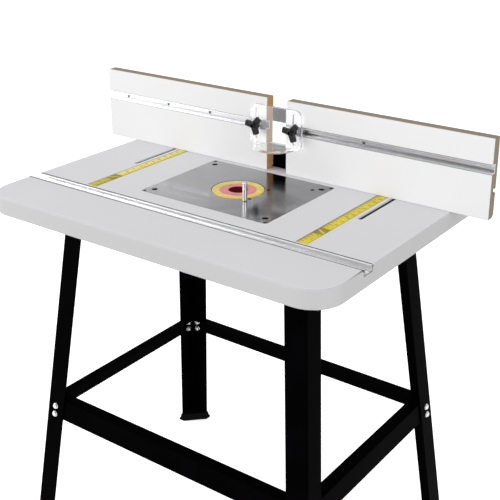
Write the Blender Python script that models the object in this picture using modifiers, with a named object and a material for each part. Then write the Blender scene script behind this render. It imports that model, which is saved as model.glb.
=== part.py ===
"""Router table: a white laminated top on a splayed angle-steel stand, with an insert plate, a miter track and
a split fence that slides on two slots.

Metres, +Z up. The origin is on the floor under the middle of the top. +X runs along the top's length, the
fence is towards +Y and the operator stands at -Y.
"""

import math

import bmesh
import bpy
from mathutils import Matrix, Vector

# Fit and finish
GAP = 0.0003  # between neighbours that touch in use
BORE_PLAY = 0.0005  # radial clearance of a bolt in its hole

# Top
TOP_Z = 0.780
TOP_LENGTH = 0.778
TOP_DEPTH = 0.608
TOP_THICKNESS = 0.036
TOP_CORNER = 0.060
TOP_CORNER_STEPS = 12
TOP_EDGE = 0.0015
UNDERSIDE_Z = TOP_Z - TOP_THICKNESS

# Insert plate and its rings, centred on the top
PLATE_LENGTH = 0.2985
PLATE_DEPTH = 0.235
PLATE_THICKNESS = 0.0063
PLATE_CORNER = 0.006
PLATE_Z = TOP_Z - 0.0001
CUTOUT_LENGTH = 0.270
CUTOUT_DEPTH = 0.207
CUTOUT_CORNER = 0.040
SCREW_X = 0.132
SCREW_Y = 0.095
SCREW_RADIUS = 0.0025
SCREW_HEAD_RADIUS = 0.0046
SCREW_LENGTH = 0.020
SCREW_RIM = 0.0006
SCREW_CONE = 0.0027
RING_THICKNESS = 0.003
RING_DEPTH = 0.0062
OUTER_RING_RADIUS = 0.0515
OUTER_RING_SPIGOT = 0.0455
INNER_RING_RADIUS = 0.0355
INNER_RING_SPIGOT = 0.0315
COLLAR_RADIUS = 0.0215
COLLAR_DEPTH = 0.0146
BIT_HOLE_RADIUS = 0.019
PIN_X = 0.0505
PIN_Y = -0.046
PIN_RADIUS = 0.00475
PIN_HEIGHT = 0.038
PIN_SHANK_RADIUS = 0.003
PIN_SHANK_LENGTH = 0.012
PIN_EASE = 0.001
SPARE_HOLES = ((0.050, -0.031), (0.050, 0.031), (0.119, 0.082))
SPARE_HOLE_RADIUS = 0.0028

# Miter track
TRACK_Y = -0.172
TRACK_WIDTH = 0.028
TRACK_HEIGHT = 0.012
TRACK_SLOT = 0.019
TRACK_FLOOR = 0.0025
TRACK_UNDERCUT = 0.0235
TRACK_UNDERCUT_HEIGHT = 0.003

# Scale tapes and fence slots
TAPE_X = 0.247
TAPE_WIDTH = 0.023
TAPE_START_Y = -0.151
TAPE_END_Y = 0.200
TAPE_THICKNESS = 0.0005
TAPE_RECESS = 0.0009
SLOT_X = 0.271
SLOT_START_Y = 0.000
SLOT_END_Y = 0.232
SLOT_WIDTH = 0.010
SLOT_SHOULDER = 0.012
SLOT_POCKET_WIDTH = 0.022
SLOT_POCKET_END = 0.006

# Stand
STEEL = 0.0025
STAND_Y = 0.002
LEG_TOP_X = 0.282
LEG_TOP_Y = 0.190
LEG_FOOT_X = 0.358
LEG_FOOT_Y = 0.274
LEG_FLANGE = 0.046
FOOT_HEIGHT = 0.010
FOOT_OVERHANG = 0.006
FOOT_EASE = 0.002
BRACE_Z = 0.316
BRACE_HEIGHT = 0.044
BRACE_FLANGE = 0.025
BRACE_BOLT_Z = 0.299
BRACE_INSET = 0.004
BRACE_BOLT_RADIUS = 0.003
BRACE_BOLT_LENGTH = 0.0125
BRACE_HEAD_RADIUS = 0.0055
BRACE_HEAD_HEIGHT = 0.004
BRACE_NUT_THICKNESS = 0.0045
FLANGE_INSET = 0.0005
MEMBER_SIDES = {"back": 0, "left": 90, "front": 180, "right": 270}
RAIL_HEIGHT = 0.036

# Fence
FENCE_FACE_Y = 0.130
FENCE_HEIGHT = 0.153
FENCE_LENGTH = 0.922
FENCE_GAP = 0.048
BOARD_THICKNESS = 0.023
BOARD_CHAMFER = 0.006
FENCE_TRACK_Z = TOP_Z + 0.0955
FENCE_TRACK_WIDTH = 0.018
FENCE_TRACK_DEPTH = 0.012
FENCE_TRACK_MOUTH = 0.008
FENCE_TRACK_CAVITY = 0.0145
FENCE_TRACK_LIP = 0.0025
FENCE_TRACK_FLOOR = 0.0017
REAR_GROOVE_Z = TOP_Z + 0.0515
REAR_GROOVE_MOUTH = 0.0076
REAR_GROOVE_CAVITY = 0.0134
REAR_GROOVE_LIP = 0.004
REAR_GROOVE_DEPTH = 0.010

# Fence bracket
BRACKET_LENGTH = 0.640
BRACKET_HEIGHT = 0.128
BRACKET_STEEL = 0.003
BRACKET_BASE = 0.060
WINDOW_WIDTH = 0.080
WINDOW_LOW = 0.050
WINDOW_HIGH = 0.100
GUSSET_X = (-0.205, -0.075, 0.075, 0.205)
GUSSET_REACH = 0.046
GUSSET_HEIGHT = 0.100
GUSSET_TOE = 0.008
CLAMP_Y = 0.186
CLAMP_BOLT_RADIUS = 0.004
CLAMP_HEAD_RADIUS = 0.009
CLAMP_HEAD_HEIGHT = 0.005
CLAMP_KNOB_REACH = 0.024
BOARD_BOLT_X = (-0.285, -0.125, 0.125, 0.285)
T_BOLT_HEAD_HEIGHT = 0.004
T_BOLT_HEAD_PLAY = 0.001

# Guard
GUARD_WIDTH = 0.125
GUARD_LOW = 0.054
GUARD_HIGH = 0.138
GUARD_THICKNESS = 0.005
GUARD_CORNER = 0.015
SHELF_RADIUS = 0.046
GUARD_BOLT_X = 0.0455
GUARD_BOLT_RADIUS = 0.003
GUARD_SLOT_WIDTH = 0.0072
GUARD_SLOT_LOW = 0.066
GUARD_SLOT_HIGH = 0.131

# Three-armed knobs
KNOB_REACH = 0.020
KNOB_WAIST = 0.0075
KNOB_BODY = 0.011
KNOB_HUB_RADIUS = 0.0075
KNOB_HUB_LENGTH = 0.006
KNOB_BORE_DEPTH = 0.0126
KNOB_BORE_END = 0.0012
KNOB_ARMS = 3
KNOB_FIRST_ARM = math.radians(50)

# How finely round shapes are cut
ROUND_STEPS = 40
BOLT_STEPS = 12
ARC_STEPS = 6

COLOURS = {
    "laminate": ((0.84, 0.84, 0.85), 0.35, 0.0),
    "plate_metal": ((0.42, 0.42, 0.43), 0.30, 1.0),
    "aluminium": ((0.78, 0.79, 0.80), 0.28, 1.0),
    "yellow_plastic": ((0.86, 0.66, 0.08), 0.40, 0.0),
    "red_plastic": ((0.62, 0.06, 0.07), 0.40, 0.0),
    "scale_yellow": ((0.80, 0.70, 0.05), 0.45, 0.0),
    "black_steel": ((0.012, 0.012, 0.014), 0.38, 0.3),
    "black_plastic": ((0.03, 0.03, 0.03), 0.50, 0.0),
    "rubber": ((0.02, 0.02, 0.02), 0.80, 0.0),
    "zinc": ((0.66, 0.67, 0.68), 0.25, 1.0),
    "clear_acrylic": ((0.90, 0.94, 0.95), 0.05, 0.0),
}


def clear_scene():
    for item in list(bpy.data.objects):
        bpy.data.objects.remove(item)


def make_collection(name):
    collection = bpy.data.collections.new(name)
    bpy.context.scene.collection.children.link(collection)
    return collection


def make_material(name):
    colour, roughness, metallic = COLOURS[name]
    material = bpy.data.materials.new(name)
    material.use_nodes = True
    shader = material.node_tree.nodes["Principled BSDF"]
    shader.inputs["Base Color"].default_value = (*colour, 1.0)
    shader.inputs["Roughness"].default_value = roughness
    shader.inputs["Metallic"].default_value = metallic
    if name == "clear_acrylic":
        shader.inputs["Transmission Weight"].default_value = 1.0
    return material


clear_scene()
PARTS = make_collection("router_table")
CUTTERS = make_collection("cutters")
MATERIALS = {name: make_material(name) for name in COLOURS}


# Helpers


def as_object(name, mesh, material=None):
    """Puts a mesh in the scene: among the parts when it has a material, or else among the cutters."""
    item = bpy.data.objects.new(name, mesh)
    if material:
        PARTS.objects.link(item)
        mesh.materials.append(MATERIALS[material])
    else:
        CUTTERS.objects.link(item)
        item.hide_render = True
        item.display_type = "WIRE"
    return item


def finished(form, name):
    """Turns a bmesh into a mesh whose faces point outwards."""
    bmesh.ops.recalc_face_normals(form, faces=form.faces)
    mesh = bpy.data.meshes.new(name)
    form.to_mesh(mesh)
    form.free()
    return mesh


def box(name, low, high, material=None):
    low, high = Vector(low), Vector(high)
    size = high - low
    place = Matrix.Translation((low + high) / 2) @ Matrix.Diagonal((*size, 1.0))
    form = bmesh.new()
    bmesh.ops.create_cube(form, size=1.0, matrix=place)
    return as_object(name, finished(form, name), material)


def along(start, end):
    """The matrix that stands local Z on the line from start to end."""
    start, end = Vector(start), Vector(end)
    turn = (end - start).to_track_quat("Z", "Y").to_matrix().to_4x4()
    return Matrix.Translation(start) @ turn


def cylinder(name, radius, start, end, material=None, sides=16):
    length = (Vector(end) - Vector(start)).length
    form = bmesh.new()
    bmesh.ops.create_cone(
        form,
        cap_ends=True,
        segments=sides,
        radius1=radius,
        radius2=radius,
        depth=length,
        matrix=along(start, end) @ Matrix.Translation((0, 0, length / 2)),
    )
    return as_object(name, finished(form, name), material)


def evaluated_mesh(item):
    bpy.context.view_layer.update()
    graph = bpy.context.evaluated_depsgraph_get()
    return bpy.data.meshes.new_from_object(item.evaluated_get(graph))


def plate(name, outlines, low, high, material=None, place=None):
    """A flat piece between local heights low and high: the first outline, less any others inside it."""
    curve = bpy.data.curves.new(name, "CURVE")
    curve.dimensions = "2D"
    curve.fill_mode = "BOTH"
    curve.extrude = (high - low) / 2
    for outline in outlines:
        spline = curve.splines.new("POLY")
        spline.points.add(len(outline) - 1)
        spline.use_cyclic_u = True
        for point, (x, y) in zip(spline.points, outline):
            point.co = (x, y, 0, 1)
    guide = bpy.data.objects.new(name, curve)
    CUTTERS.objects.link(guide)
    form = bmesh.new()
    form.from_mesh(evaluated_mesh(guide))
    bpy.data.objects.remove(guide)
    bmesh.ops.remove_doubles(form, verts=form.verts, dist=1e-6)
    bmesh.ops.translate(form, verts=form.verts, vec=(0, 0, (low + high) / 2))
    bmesh.ops.transform(form, verts=form.verts, matrix=place or Matrix.Identity(4))
    return as_object(name, finished(form, name), material)


def bar(name, section, start_x, end_x, material=None):
    """A straight piece along X whose section is given as (y, z) points."""
    turn = Matrix(((0, 0, 1, 0), (1, 0, 0, 0), (0, 1, 0, 0), (0, 0, 0, 1)))
    return plate(name, [section], start_x, end_x, material, turn)


def turned(name, profile, material=None, place=None, steps=BOLT_STEPS):
    """A turned piece: (radius, height) points that run down the outer side, spun about local Z."""
    mesh = bpy.data.meshes.new(name)
    form = bmesh.new()
    corners = [form.verts.new((radius, 0, height)) for radius, height in profile]
    closed = min(radius for radius, _ in profile) > 0
    pairs = zip(corners, corners[1:] + corners[:1]) if closed else zip(corners, corners[1:])
    for pair in pairs:
        form.edges.new(pair)
    form.to_mesh(mesh)
    form.free()
    item = as_object(name, mesh, material)
    item.matrix_world = place or Matrix.Identity(4)
    screw = item.modifiers.new("turned", "SCREW")
    screw.steps = steps
    screw.render_steps = steps
    screw.use_merge_vertices = True
    screw.merge_threshold = 1e-5
    mesh_now = evaluated_mesh(item)
    item.modifiers.clear()
    mesh_now.name = name
    item.data = mesh_now
    return item


def boolean(target, operation, tools):
    for tool in tools:
        modifier = target.modifiers.new(tool.name, "BOOLEAN")
        modifier.operation = operation
        modifier.solver = "EXACT"
        modifier.object = tool
    return target


def cut(target, *tools):
    return boolean(target, "DIFFERENCE", tools)


def join(target, *tools):
    return boolean(target, "UNION", tools)


def arc(centre, radius, start, end, steps=ARC_STEPS):
    angles = (math.radians(start + (end - start) * i / steps) for i in range(steps + 1))
    return [(centre[0] + radius * math.cos(a), centre[1] + radius * math.sin(a)) for a in angles]


def rounded_rectangle(low, high, radius, steps=ARC_STEPS):
    (x0, y0), (x1, y1) = low, high
    return (
        arc((x1 - radius, y1 - radius), radius, 0, 90, steps)
        + arc((x0 + radius, y1 - radius), radius, 90, 180, steps)
        + arc((x0 + radius, y0 + radius), radius, 180, 270, steps)
        + arc((x1 - radius, y0 + radius), radius, 270, 360, steps)
    )


def circle(centre, radius, steps=BOLT_STEPS):
    return arc(centre, radius, 0, 360, steps)[:-1]


def t_channel(middle, mouth_at, depth, outer, mouth, cavity, lip, floor):
    """Section of a T-slot channel, as (across, deep) points, with its mouth at mouth_at."""
    bottom = mouth_at + depth
    half = [
        (mouth / 2, mouth_at),
        (outer / 2, mouth_at),
        (outer / 2, bottom),
        (cavity / 2, bottom - floor),
        (cavity / 2, mouth_at + lip),
        (mouth / 2, mouth_at + lip),
    ]
    right = [(middle + across, deep) for across, deep in half[:3]]
    left = [(middle - across, deep) for across, deep in reversed(half[:3])]
    inner_left = [(middle - across, deep) for across, deep in reversed(half[3:])]
    inner_right = [(middle + across, deep) for across, deep in half[3:]]
    return right + left + inner_left + inner_right


def smooth(*items):
    for item in items:
        item.data.shade_smooth()
        item.data.set_sharp_from_angle(angle=math.radians(35))


# Top and what is let into it


def make_top():
    half = Vector((TOP_LENGTH / 2, TOP_DEPTH / 2))
    outline = rounded_rectangle(-half, half, TOP_CORNER, TOP_CORNER_STEPS)
    top = plate("table_top", [outline], UNDERSIDE_Z, TOP_Z, "laminate")
    eased = top.modifiers.new("eased_edges", "BEVEL")
    eased.width = TOP_EDGE
    eased.segments = 1
    eased.limit_method = "ANGLE"
    eased.angle_limit = math.radians(60)

    above = TOP_Z + 0.010
    below = UNDERSIDE_Z - 0.010
    seat = Vector((PLATE_LENGTH, PLATE_DEPTH)) / 2 + Vector((GAP, GAP))
    seat_outline = rounded_rectangle(-seat, seat, PLATE_CORNER, 3)
    opening = Vector((CUTOUT_LENGTH, CUTOUT_DEPTH)) / 2
    opening_outline = rounded_rectangle(-opening, opening, CUTOUT_CORNER, 5)
    seat_z = PLATE_Z - PLATE_THICKNESS - GAP
    groove = TRACK_WIDTH / 2 + GAP
    cutters = [
        plate("cutter_plate_seat", [seat_outline], seat_z, above),
        plate("cutter_router_opening", [opening_outline], below, above),
        box(
            "cutter_miter_groove",
            (-TOP_LENGTH, TRACK_Y - groove, TOP_Z - TRACK_HEIGHT - GAP),
            (TOP_LENGTH, TRACK_Y + groove, above),
        ),
    ]
    for sx in (-1, 1):
        for sy in (-1, 1):
            x, y = sx * SCREW_X, sy * SCREW_Y
            start = (x, y, PLATE_Z - SCREW_LENGTH - 0.001)
            pilot = cylinder(f"cutter_pilot_{sx}_{sy}", SCREW_RADIUS + GAP, start, (x, y, TOP_Z))
            cutters.append(pilot)
        slot_half = SLOT_WIDTH / 2
        pocket_half = SLOT_POCKET_WIDTH / 2
        middle = sx * SLOT_X
        slot = rounded_rectangle(
            (middle - slot_half, SLOT_START_Y), (middle + slot_half, SLOT_END_Y), slot_half * 0.6, 3
        )
        pocket = rounded_rectangle(
            (middle - pocket_half, SLOT_START_Y - SLOT_POCKET_END),
            (middle + pocket_half, SLOT_END_Y + SLOT_POCKET_END),
            pocket_half * 0.8,
            3,
        )
        cutters.append(plate(f"cutter_slot_{sx}", [slot], below, above))
        cutters.append(plate(f"cutter_slot_pocket_{sx}", [pocket], below, TOP_Z - SLOT_SHOULDER))
        tape_half = TAPE_WIDTH / 2 + GAP
        cutters.append(
            box(
                f"cutter_tape_{sx}",
                (sx * TAPE_X - tape_half, TAPE_START_Y - GAP, TOP_Z - TAPE_RECESS),
                (sx * TAPE_X + tape_half, TAPE_END_Y + GAP, above),
            )
        )
    cut(top, *cutters)


def make_miter_track():
    half = TRACK_WIDTH / 2
    slot = TRACK_SLOT / 2
    undercut = TRACK_UNDERCUT / 2
    bottom = TOP_Z - TRACK_HEIGHT
    floor = bottom + TRACK_FLOOR
    step = floor + TRACK_UNDERCUT_HEIGHT
    section = [
        (TRACK_Y - half, bottom),
        (TRACK_Y + half, bottom),
        (TRACK_Y + half, TOP_Z),
        (TRACK_Y + slot, TOP_Z),
        (TRACK_Y + slot, step),
        (TRACK_Y + undercut, step),
        (TRACK_Y + undercut, floor),
        (TRACK_Y - undercut, floor),
        (TRACK_Y - undercut, step),
        (TRACK_Y - slot, step),
        (TRACK_Y - slot, TOP_Z),
        (TRACK_Y - half, TOP_Z),
    ]
    bar("miter_track", section, -TOP_LENGTH / 2, TOP_LENGTH / 2, "aluminium")


def make_insert_plate():
    half = Vector((PLATE_LENGTH, PLATE_DEPTH)) / 2
    screws = [(sx * SCREW_X, sy * SCREW_Y) for sx in (-1, 1) for sy in (-1, 1)]
    holes = [circle(screw, SCREW_RADIUS + BORE_PLAY) for screw in screws]
    holes += [circle(place, SPARE_HOLE_RADIUS) for place in SPARE_HOLES]
    holes.append(circle((PIN_X, PIN_Y), PIN_SHANK_RADIUS + BORE_PLAY))
    holes.append(circle((0, 0), OUTER_RING_SPIGOT + GAP, ROUND_STEPS))
    outline = rounded_rectangle(-half, half, PLATE_CORNER - GAP, 3)
    item = plate("insert_plate", [outline] + holes, PLATE_Z - PLATE_THICKNESS, PLATE_Z, "plate_metal")
    floor = (0, 0, PLATE_Z - RING_THICKNESS - GAP)
    open_end = (0, 0, TOP_Z + 0.01)
    seat = cylinder("cutter_ring_seat", OUTER_RING_RADIUS + GAP * 2, floor, open_end, sides=ROUND_STEPS)
    countersinks = [make_countersink(sx, sy) for sx in (-1, 1) for sy in (-1, 1)]
    cut(item, seat, *countersinks)


def make_countersink(sx, sy):
    profile = [
        (0, 0.002),
        (SCREW_HEAD_RADIUS + GAP, 0.002),
        (SCREW_HEAD_RADIUS + GAP, -SCREW_RIM + GAP / 3),
        (SCREW_RADIUS + GAP, -SCREW_CONE - GAP / 3),
        (0, -SCREW_CONE - GAP / 3),
    ]
    place = Matrix.Translation((sx * SCREW_X, sy * SCREW_Y, PLATE_Z))
    return turned(f"cutter_countersink_{sx}_{sy}", profile, place=place)


def make_plate_screws():
    profile = [
        (0, 0),
        (SCREW_HEAD_RADIUS, 0),
        (SCREW_HEAD_RADIUS, -SCREW_RIM),
        (SCREW_RADIUS, -SCREW_CONE),
        (SCREW_RADIUS, -SCREW_LENGTH),
        (0, -SCREW_LENGTH - 0.0005),
    ]
    corners = ((-1, -1, "front_left"), (1, -1, "front_right"), (-1, 1, "back_left"), (1, 1, "back_right"))
    for sx, sy, corner in corners:
        place = Matrix.Translation((sx * SCREW_X, sy * SCREW_Y, PLATE_Z))
        smooth(turned(f"plate_screw_{corner}", profile, "black_steel", place))


def make_rings():
    outer = [
        (OUTER_RING_RADIUS, 0),
        (OUTER_RING_RADIUS, -RING_THICKNESS),
        (OUTER_RING_SPIGOT - GAP, -RING_THICKNESS),
        (OUTER_RING_SPIGOT - GAP, -RING_DEPTH),
        (INNER_RING_SPIGOT + GAP, -RING_DEPTH),
        (INNER_RING_SPIGOT + GAP, -RING_THICKNESS - GAP),
        (INNER_RING_RADIUS + GAP, -RING_THICKNESS - GAP),
        (INNER_RING_RADIUS + GAP, 0),
    ]
    inner = [
        (INNER_RING_RADIUS, 0),
        (INNER_RING_RADIUS, -RING_THICKNESS),
        (INNER_RING_SPIGOT, -RING_THICKNESS),
        (INNER_RING_SPIGOT, -RING_DEPTH),
        (COLLAR_RADIUS, -RING_DEPTH),
        (COLLAR_RADIUS, -COLLAR_DEPTH),
        (BIT_HOLE_RADIUS, -COLLAR_DEPTH),
        (BIT_HOLE_RADIUS, 0),
    ]
    place = Matrix.Translation((0, 0, PLATE_Z))
    smooth(
        turned("insert_ring_outer", outer, "yellow_plastic", place, ROUND_STEPS),
        turned("insert_ring_inner", inner, "red_plastic", place, ROUND_STEPS),
    )


def make_starting_pin():
    profile = [
        (0, PIN_HEIGHT),
        (PIN_RADIUS - PIN_EASE, PIN_HEIGHT),
        (PIN_RADIUS, PIN_HEIGHT - PIN_EASE),
        (PIN_RADIUS, GAP * 2),
        (PIN_SHANK_RADIUS, GAP * 2),
        (PIN_SHANK_RADIUS, -PIN_SHANK_LENGTH),
        (0, -PIN_SHANK_LENGTH),
    ]
    place = Matrix.Translation((PIN_X, PIN_Y, PLATE_Z))
    smooth(turned("starting_pin", profile, "zinc", place, 16))


def make_scale_tapes():
    top = TOP_Z - 0.0001
    for sx, side in ((-1, "left"), (1, "right")):
        low = (sx * TAPE_X - TAPE_WIDTH / 2, TAPE_START_Y, top - TAPE_THICKNESS)
        high = (sx * TAPE_X + TAPE_WIDTH / 2, TAPE_END_Y, top)
        box(f"scale_tape_{side}", low, high, "scale_yellow")


# Stand. Each leg leans outwards both ways, and its corner edge is where the two flanges meet.

LEG_DROP = UNDERSIDE_Z
SLOPE_X = (LEG_FOOT_X - LEG_TOP_X) / LEG_DROP
SLOPE_Y = (LEG_FOOT_Y - LEG_TOP_Y) / LEG_DROP
CORNERS = ((-1, -1, "front_left"), (1, -1, "front_right"), (1, 1, "back_right"), (-1, 1, "back_left"))


def leg_corner(sx, sy, z):
    drop = UNDERSIDE_Z - z
    return Vector((sx * (LEG_TOP_X + SLOPE_X * drop), STAND_Y + sy * (LEG_TOP_Y + SLOPE_Y * drop), z))


def lean(item, slope_x, slope_y, level):
    """Shears a piece so that it moves by its slopes for each metre below the level."""
    shear = Matrix.Identity(4)
    shear[0][2], shear[0][3] = -slope_x, slope_x * level
    shear[1][2], shear[1][3] = -slope_y, slope_y * level
    item.data.transform(shear)
    return item


def flange_frames():
    """Each leg's two flanges as (name, corner signs, outward normal, inward run along the flange)."""
    for sx, sy, corner in CORNERS:
        end = corner.split("_")[0]
        side = corner.split("_")[1]
        yield f"{end}_{side}_{end}", sx, sy, Vector((0, sy, SLOPE_Y)).normalized(), Vector((-sx, 0, 0))
        yield f"{end}_{side}_{side}", sx, sy, Vector((sx, 0, SLOPE_X)).normalized(), Vector((0, -sy, 0))


def flange_point(sx, sy, run, z):
    """The point on a flange's outer face where its brace bolt goes."""
    return leg_corner(sx, sy, z) + run * LEG_FLANGE / 2


def make_legs(bolt_holes):
    low = FOOT_HEIGHT + GAP
    for sx, sy, corner in CORNERS:
        at = leg_corner(sx, sy, UNDERSIDE_Z)
        section = [
            (0, 0),
            (LEG_FLANGE, 0),
            (LEG_FLANGE, STEEL),
            (STEEL, STEEL),
            (STEEL, LEG_FLANGE),
            (0, LEG_FLANGE),
        ]
        outline = [(at.x - sx * u, at.y - sy * v) for u, v in section]
        leg = plate(f"leg_{corner}", [outline], low, UNDERSIDE_Z - GAP, "black_steel")
        lean(leg, sx * SLOPE_X, sy * SLOPE_Y, UNDERSIDE_Z)
        cut(leg, *[hole for name, hole in bolt_holes.items() if name.startswith(corner)])


def make_feet():
    reach = LEG_FLANGE + FOOT_OVERHANG
    inner = STEEL + FOOT_OVERHANG
    pad = [
        (-FOOT_OVERHANG, -FOOT_OVERHANG),
        (reach, -FOOT_OVERHANG),
        (reach, inner),
        (inner, reach),
        (-FOOT_OVERHANG, reach),
    ]
    for sx, sy, corner in CORNERS:
        at = leg_corner(sx, sy, 0)
        outline = [(at.x - sx * u, at.y - sy * v) for u, v in pad]
        foot = plate(f"foot_{corner}", [outline], 0, FOOT_HEIGHT, "rubber")
        eased = foot.modifiers.new("eased_edges", "BEVEL")
        eased.width = FOOT_EASE
        eased.segments = 1
        eased.limit_method = "ANGLE"
        eased.angle_limit = math.radians(60)


def cross_member(name, side, low, high, flange, holes):
    """An angle or a flat bar between two legs, inside their flanges: side is front, back, left or right.

    It is drawn along X at the back, with its outer face leaning as the legs do, then turned to its side.
    """
    corner = leg_corner(1, 1, high)
    if side in ("front", "back"):
        half, outward, slope = corner.x, corner.y - STAND_Y, SLOPE_Y
    else:
        half, outward, slope = corner.y - STAND_Y, corner.x, SLOPE_X
    half -= STEEL + BRACE_INSET
    outward -= STEEL + GAP
    member = box(name, (-half, outward - STEEL, low), (half, outward, high), "black_steel")
    lean(member, 0, slope, high)
    if flange:
        edge = half - FLANGE_INSET
        shelf = [
            (-edge, outward - STEEL / 2),
            (edge, outward - STEEL / 2),
            (edge - flange, outward - flange),
            (-edge + flange, outward - flange),
        ]
        join(member, plate(f"cutter_{name}_flange", [shelf], high - STEEL, high))
        member.data = evaluated_mesh(member)
        member.modifiers.clear()
    turn = Matrix.Rotation(math.radians(MEMBER_SIDES[side]), 4, "Z")
    member.data.transform(Matrix.Translation((0, STAND_Y, 0)) @ turn)
    cut(member, *[hole for place, hole in holes.items() if place.endswith(side)])


def make_stand():
    nut_top = -2 * STEEL - 3.5 * GAP
    profile = [
        (0, BRACE_HEAD_HEIGHT),
        (BRACE_HEAD_RADIUS * 0.65, BRACE_HEAD_HEIGHT * 0.9),
        (BRACE_HEAD_RADIUS, BRACE_HEAD_HEIGHT * 0.5),
        (BRACE_HEAD_RADIUS, GAP),
        (BRACE_BOLT_RADIUS, GAP),
        (BRACE_BOLT_RADIUS, nut_top),
        (BRACE_HEAD_RADIUS, nut_top),
        (BRACE_HEAD_RADIUS, nut_top - BRACE_NUT_THICKNESS),
        (BRACE_BOLT_RADIUS, nut_top - BRACE_NUT_THICKNESS),
        (BRACE_BOLT_RADIUS, -BRACE_BOLT_LENGTH),
        (0, -BRACE_BOLT_LENGTH),
    ]
    holes = {}
    for name, sx, sy, normal, run in flange_frames():
        point = flange_point(sx, sy, run, BRACE_BOLT_Z)
        place = along(point, point + normal)
        smooth(turned(f"brace_bolt_{name}", profile, "zinc", place, 10))
        reach = normal * 4 * STEEL
        bore = BRACE_BOLT_RADIUS + BORE_PLAY
        holes[name] = cylinder(f"cutter_brace_hole_{name}", bore, point - reach, point + reach, sides=12)
    make_legs(holes)
    make_feet()
    for side in ("front", "back", "left", "right"):
        cross_member(f"brace_{side}", side, BRACE_Z - BRACE_HEIGHT, BRACE_Z, BRACE_FLANGE, holes)
        rail_flange = BRACE_FLANGE if side in ("front", "back") else 0
        rail_top = UNDERSIDE_Z - GAP
        cross_member(f"top_rail_{side}", side, rail_top - RAIL_HEIGHT, rail_top, rail_flange, {})


# Fence


def fence_ends(sx):
    ends = sorted((sx * FENCE_GAP / 2, sx * FENCE_LENGTH / 2))
    return ends[0], ends[1]


def make_boards():
    back = FENCE_FACE_Y + BOARD_THICKNESS
    low = TOP_Z + GAP
    high = TOP_Z + FENCE_HEIGHT
    groove_half = FENCE_TRACK_WIDTH / 2 + GAP
    groove_y = FENCE_FACE_Y + FENCE_TRACK_DEPTH + GAP
    mouth = REAR_GROOVE_MOUTH / 2
    cavity = REAR_GROOVE_CAVITY / 2
    neck_y = back - REAR_GROOVE_LIP
    deep_y = back - REAR_GROOVE_DEPTH
    section = [
        (FENCE_FACE_Y, low),
        (back - BOARD_CHAMFER, low),
        (back, low + BOARD_CHAMFER),
        (back, REAR_GROOVE_Z - mouth),
        (neck_y, REAR_GROOVE_Z - mouth),
        (neck_y, REAR_GROOVE_Z - cavity),
        (deep_y, REAR_GROOVE_Z - cavity),
        (deep_y, REAR_GROOVE_Z + cavity),
        (neck_y, REAR_GROOVE_Z + cavity),
        (neck_y, REAR_GROOVE_Z + mouth),
        (back, REAR_GROOVE_Z + mouth),
        (back, high),
        (FENCE_FACE_Y, high),
        (FENCE_FACE_Y, FENCE_TRACK_Z + groove_half),
        (groove_y, FENCE_TRACK_Z + groove_half),
        (groove_y, FENCE_TRACK_Z - groove_half),
        (FENCE_FACE_Y, FENCE_TRACK_Z - groove_half),
    ]
    for sx, side in ((-1, "left"), (1, "right")):
        start, end = fence_ends(sx)
        bar(f"fence_board_{side}", section, start, end, "laminate")


def make_fence_tracks():
    channel = t_channel(
        FENCE_TRACK_Z,
        FENCE_FACE_Y,
        FENCE_TRACK_DEPTH,
        FENCE_TRACK_WIDTH,
        FENCE_TRACK_MOUTH,
        FENCE_TRACK_CAVITY,
        FENCE_TRACK_LIP,
        FENCE_TRACK_FLOOR,
    )
    section = [(y, z) for z, y in channel]
    for sx, side in ((-1, "left"), (1, "right")):
        start, end = fence_ends(sx)
        bar(f"fence_track_{side}", section, start, end, "aluminium")


def make_bracket():
    face = FENCE_FACE_Y + BOARD_THICKNESS + GAP
    low = TOP_Z + GAP
    half = BRACKET_LENGTH / 2
    section = [
        (face, low),
        (face + BRACKET_BASE, low),
        (face + BRACKET_BASE, low + BRACKET_STEEL),
        (face + BRACKET_STEEL, low + BRACKET_STEEL),
        (face + BRACKET_STEEL, TOP_Z + BRACKET_HEIGHT),
        (face, TOP_Z + BRACKET_HEIGHT),
    ]
    bracket = bar("fence_bracket", section, -half, half, "black_steel")
    rear = face + BRACKET_STEEL
    gussets = []
    for index, x in enumerate(GUSSET_X):
        corner = low + BRACKET_STEEL / 2
        web = [
            (rear - BRACKET_STEEL / 2, corner),
            (rear + GUSSET_REACH, corner),
            (rear + GUSSET_REACH, corner + GUSSET_TOE),
            (rear, corner + GUSSET_HEIGHT),
            (rear - BRACKET_STEEL / 2, corner + GUSSET_HEIGHT),
        ]
        gussets.append(bar(f"cutter_gusset_{index}", web, x - BRACKET_STEEL / 2, x + BRACKET_STEEL / 2))
    join(bracket, *gussets)
    window = box(
        "cutter_bracket_window",
        (-WINDOW_WIDTH / 2, face - 0.01, TOP_Z + WINDOW_LOW),
        (WINDOW_WIDTH / 2, rear + 0.01, TOP_Z + WINDOW_HIGH),
    )
    holes = [window]
    for sx in (-1, 1):
        start = (sx * SLOT_X, CLAMP_Y, TOP_Z - 0.01)
        end = (sx * SLOT_X, CLAMP_Y, TOP_Z + 0.02)
        holes.append(cylinder(f"cutter_clamp_hole_{sx}", CLAMP_BOLT_RADIUS + BORE_PLAY, start, end, sides=12))
    for index, x in enumerate(BOARD_BOLT_X):
        start = (x, face - 0.01, REAR_GROOVE_Z)
        end = (x, rear + 0.01, REAR_GROOVE_Z)
        bore = GUARD_BOLT_RADIUS + BORE_PLAY
        holes.append(cylinder(f"cutter_board_hole_{index}", bore, start, end, sides=12))
    cut(bracket, *holes)


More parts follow.
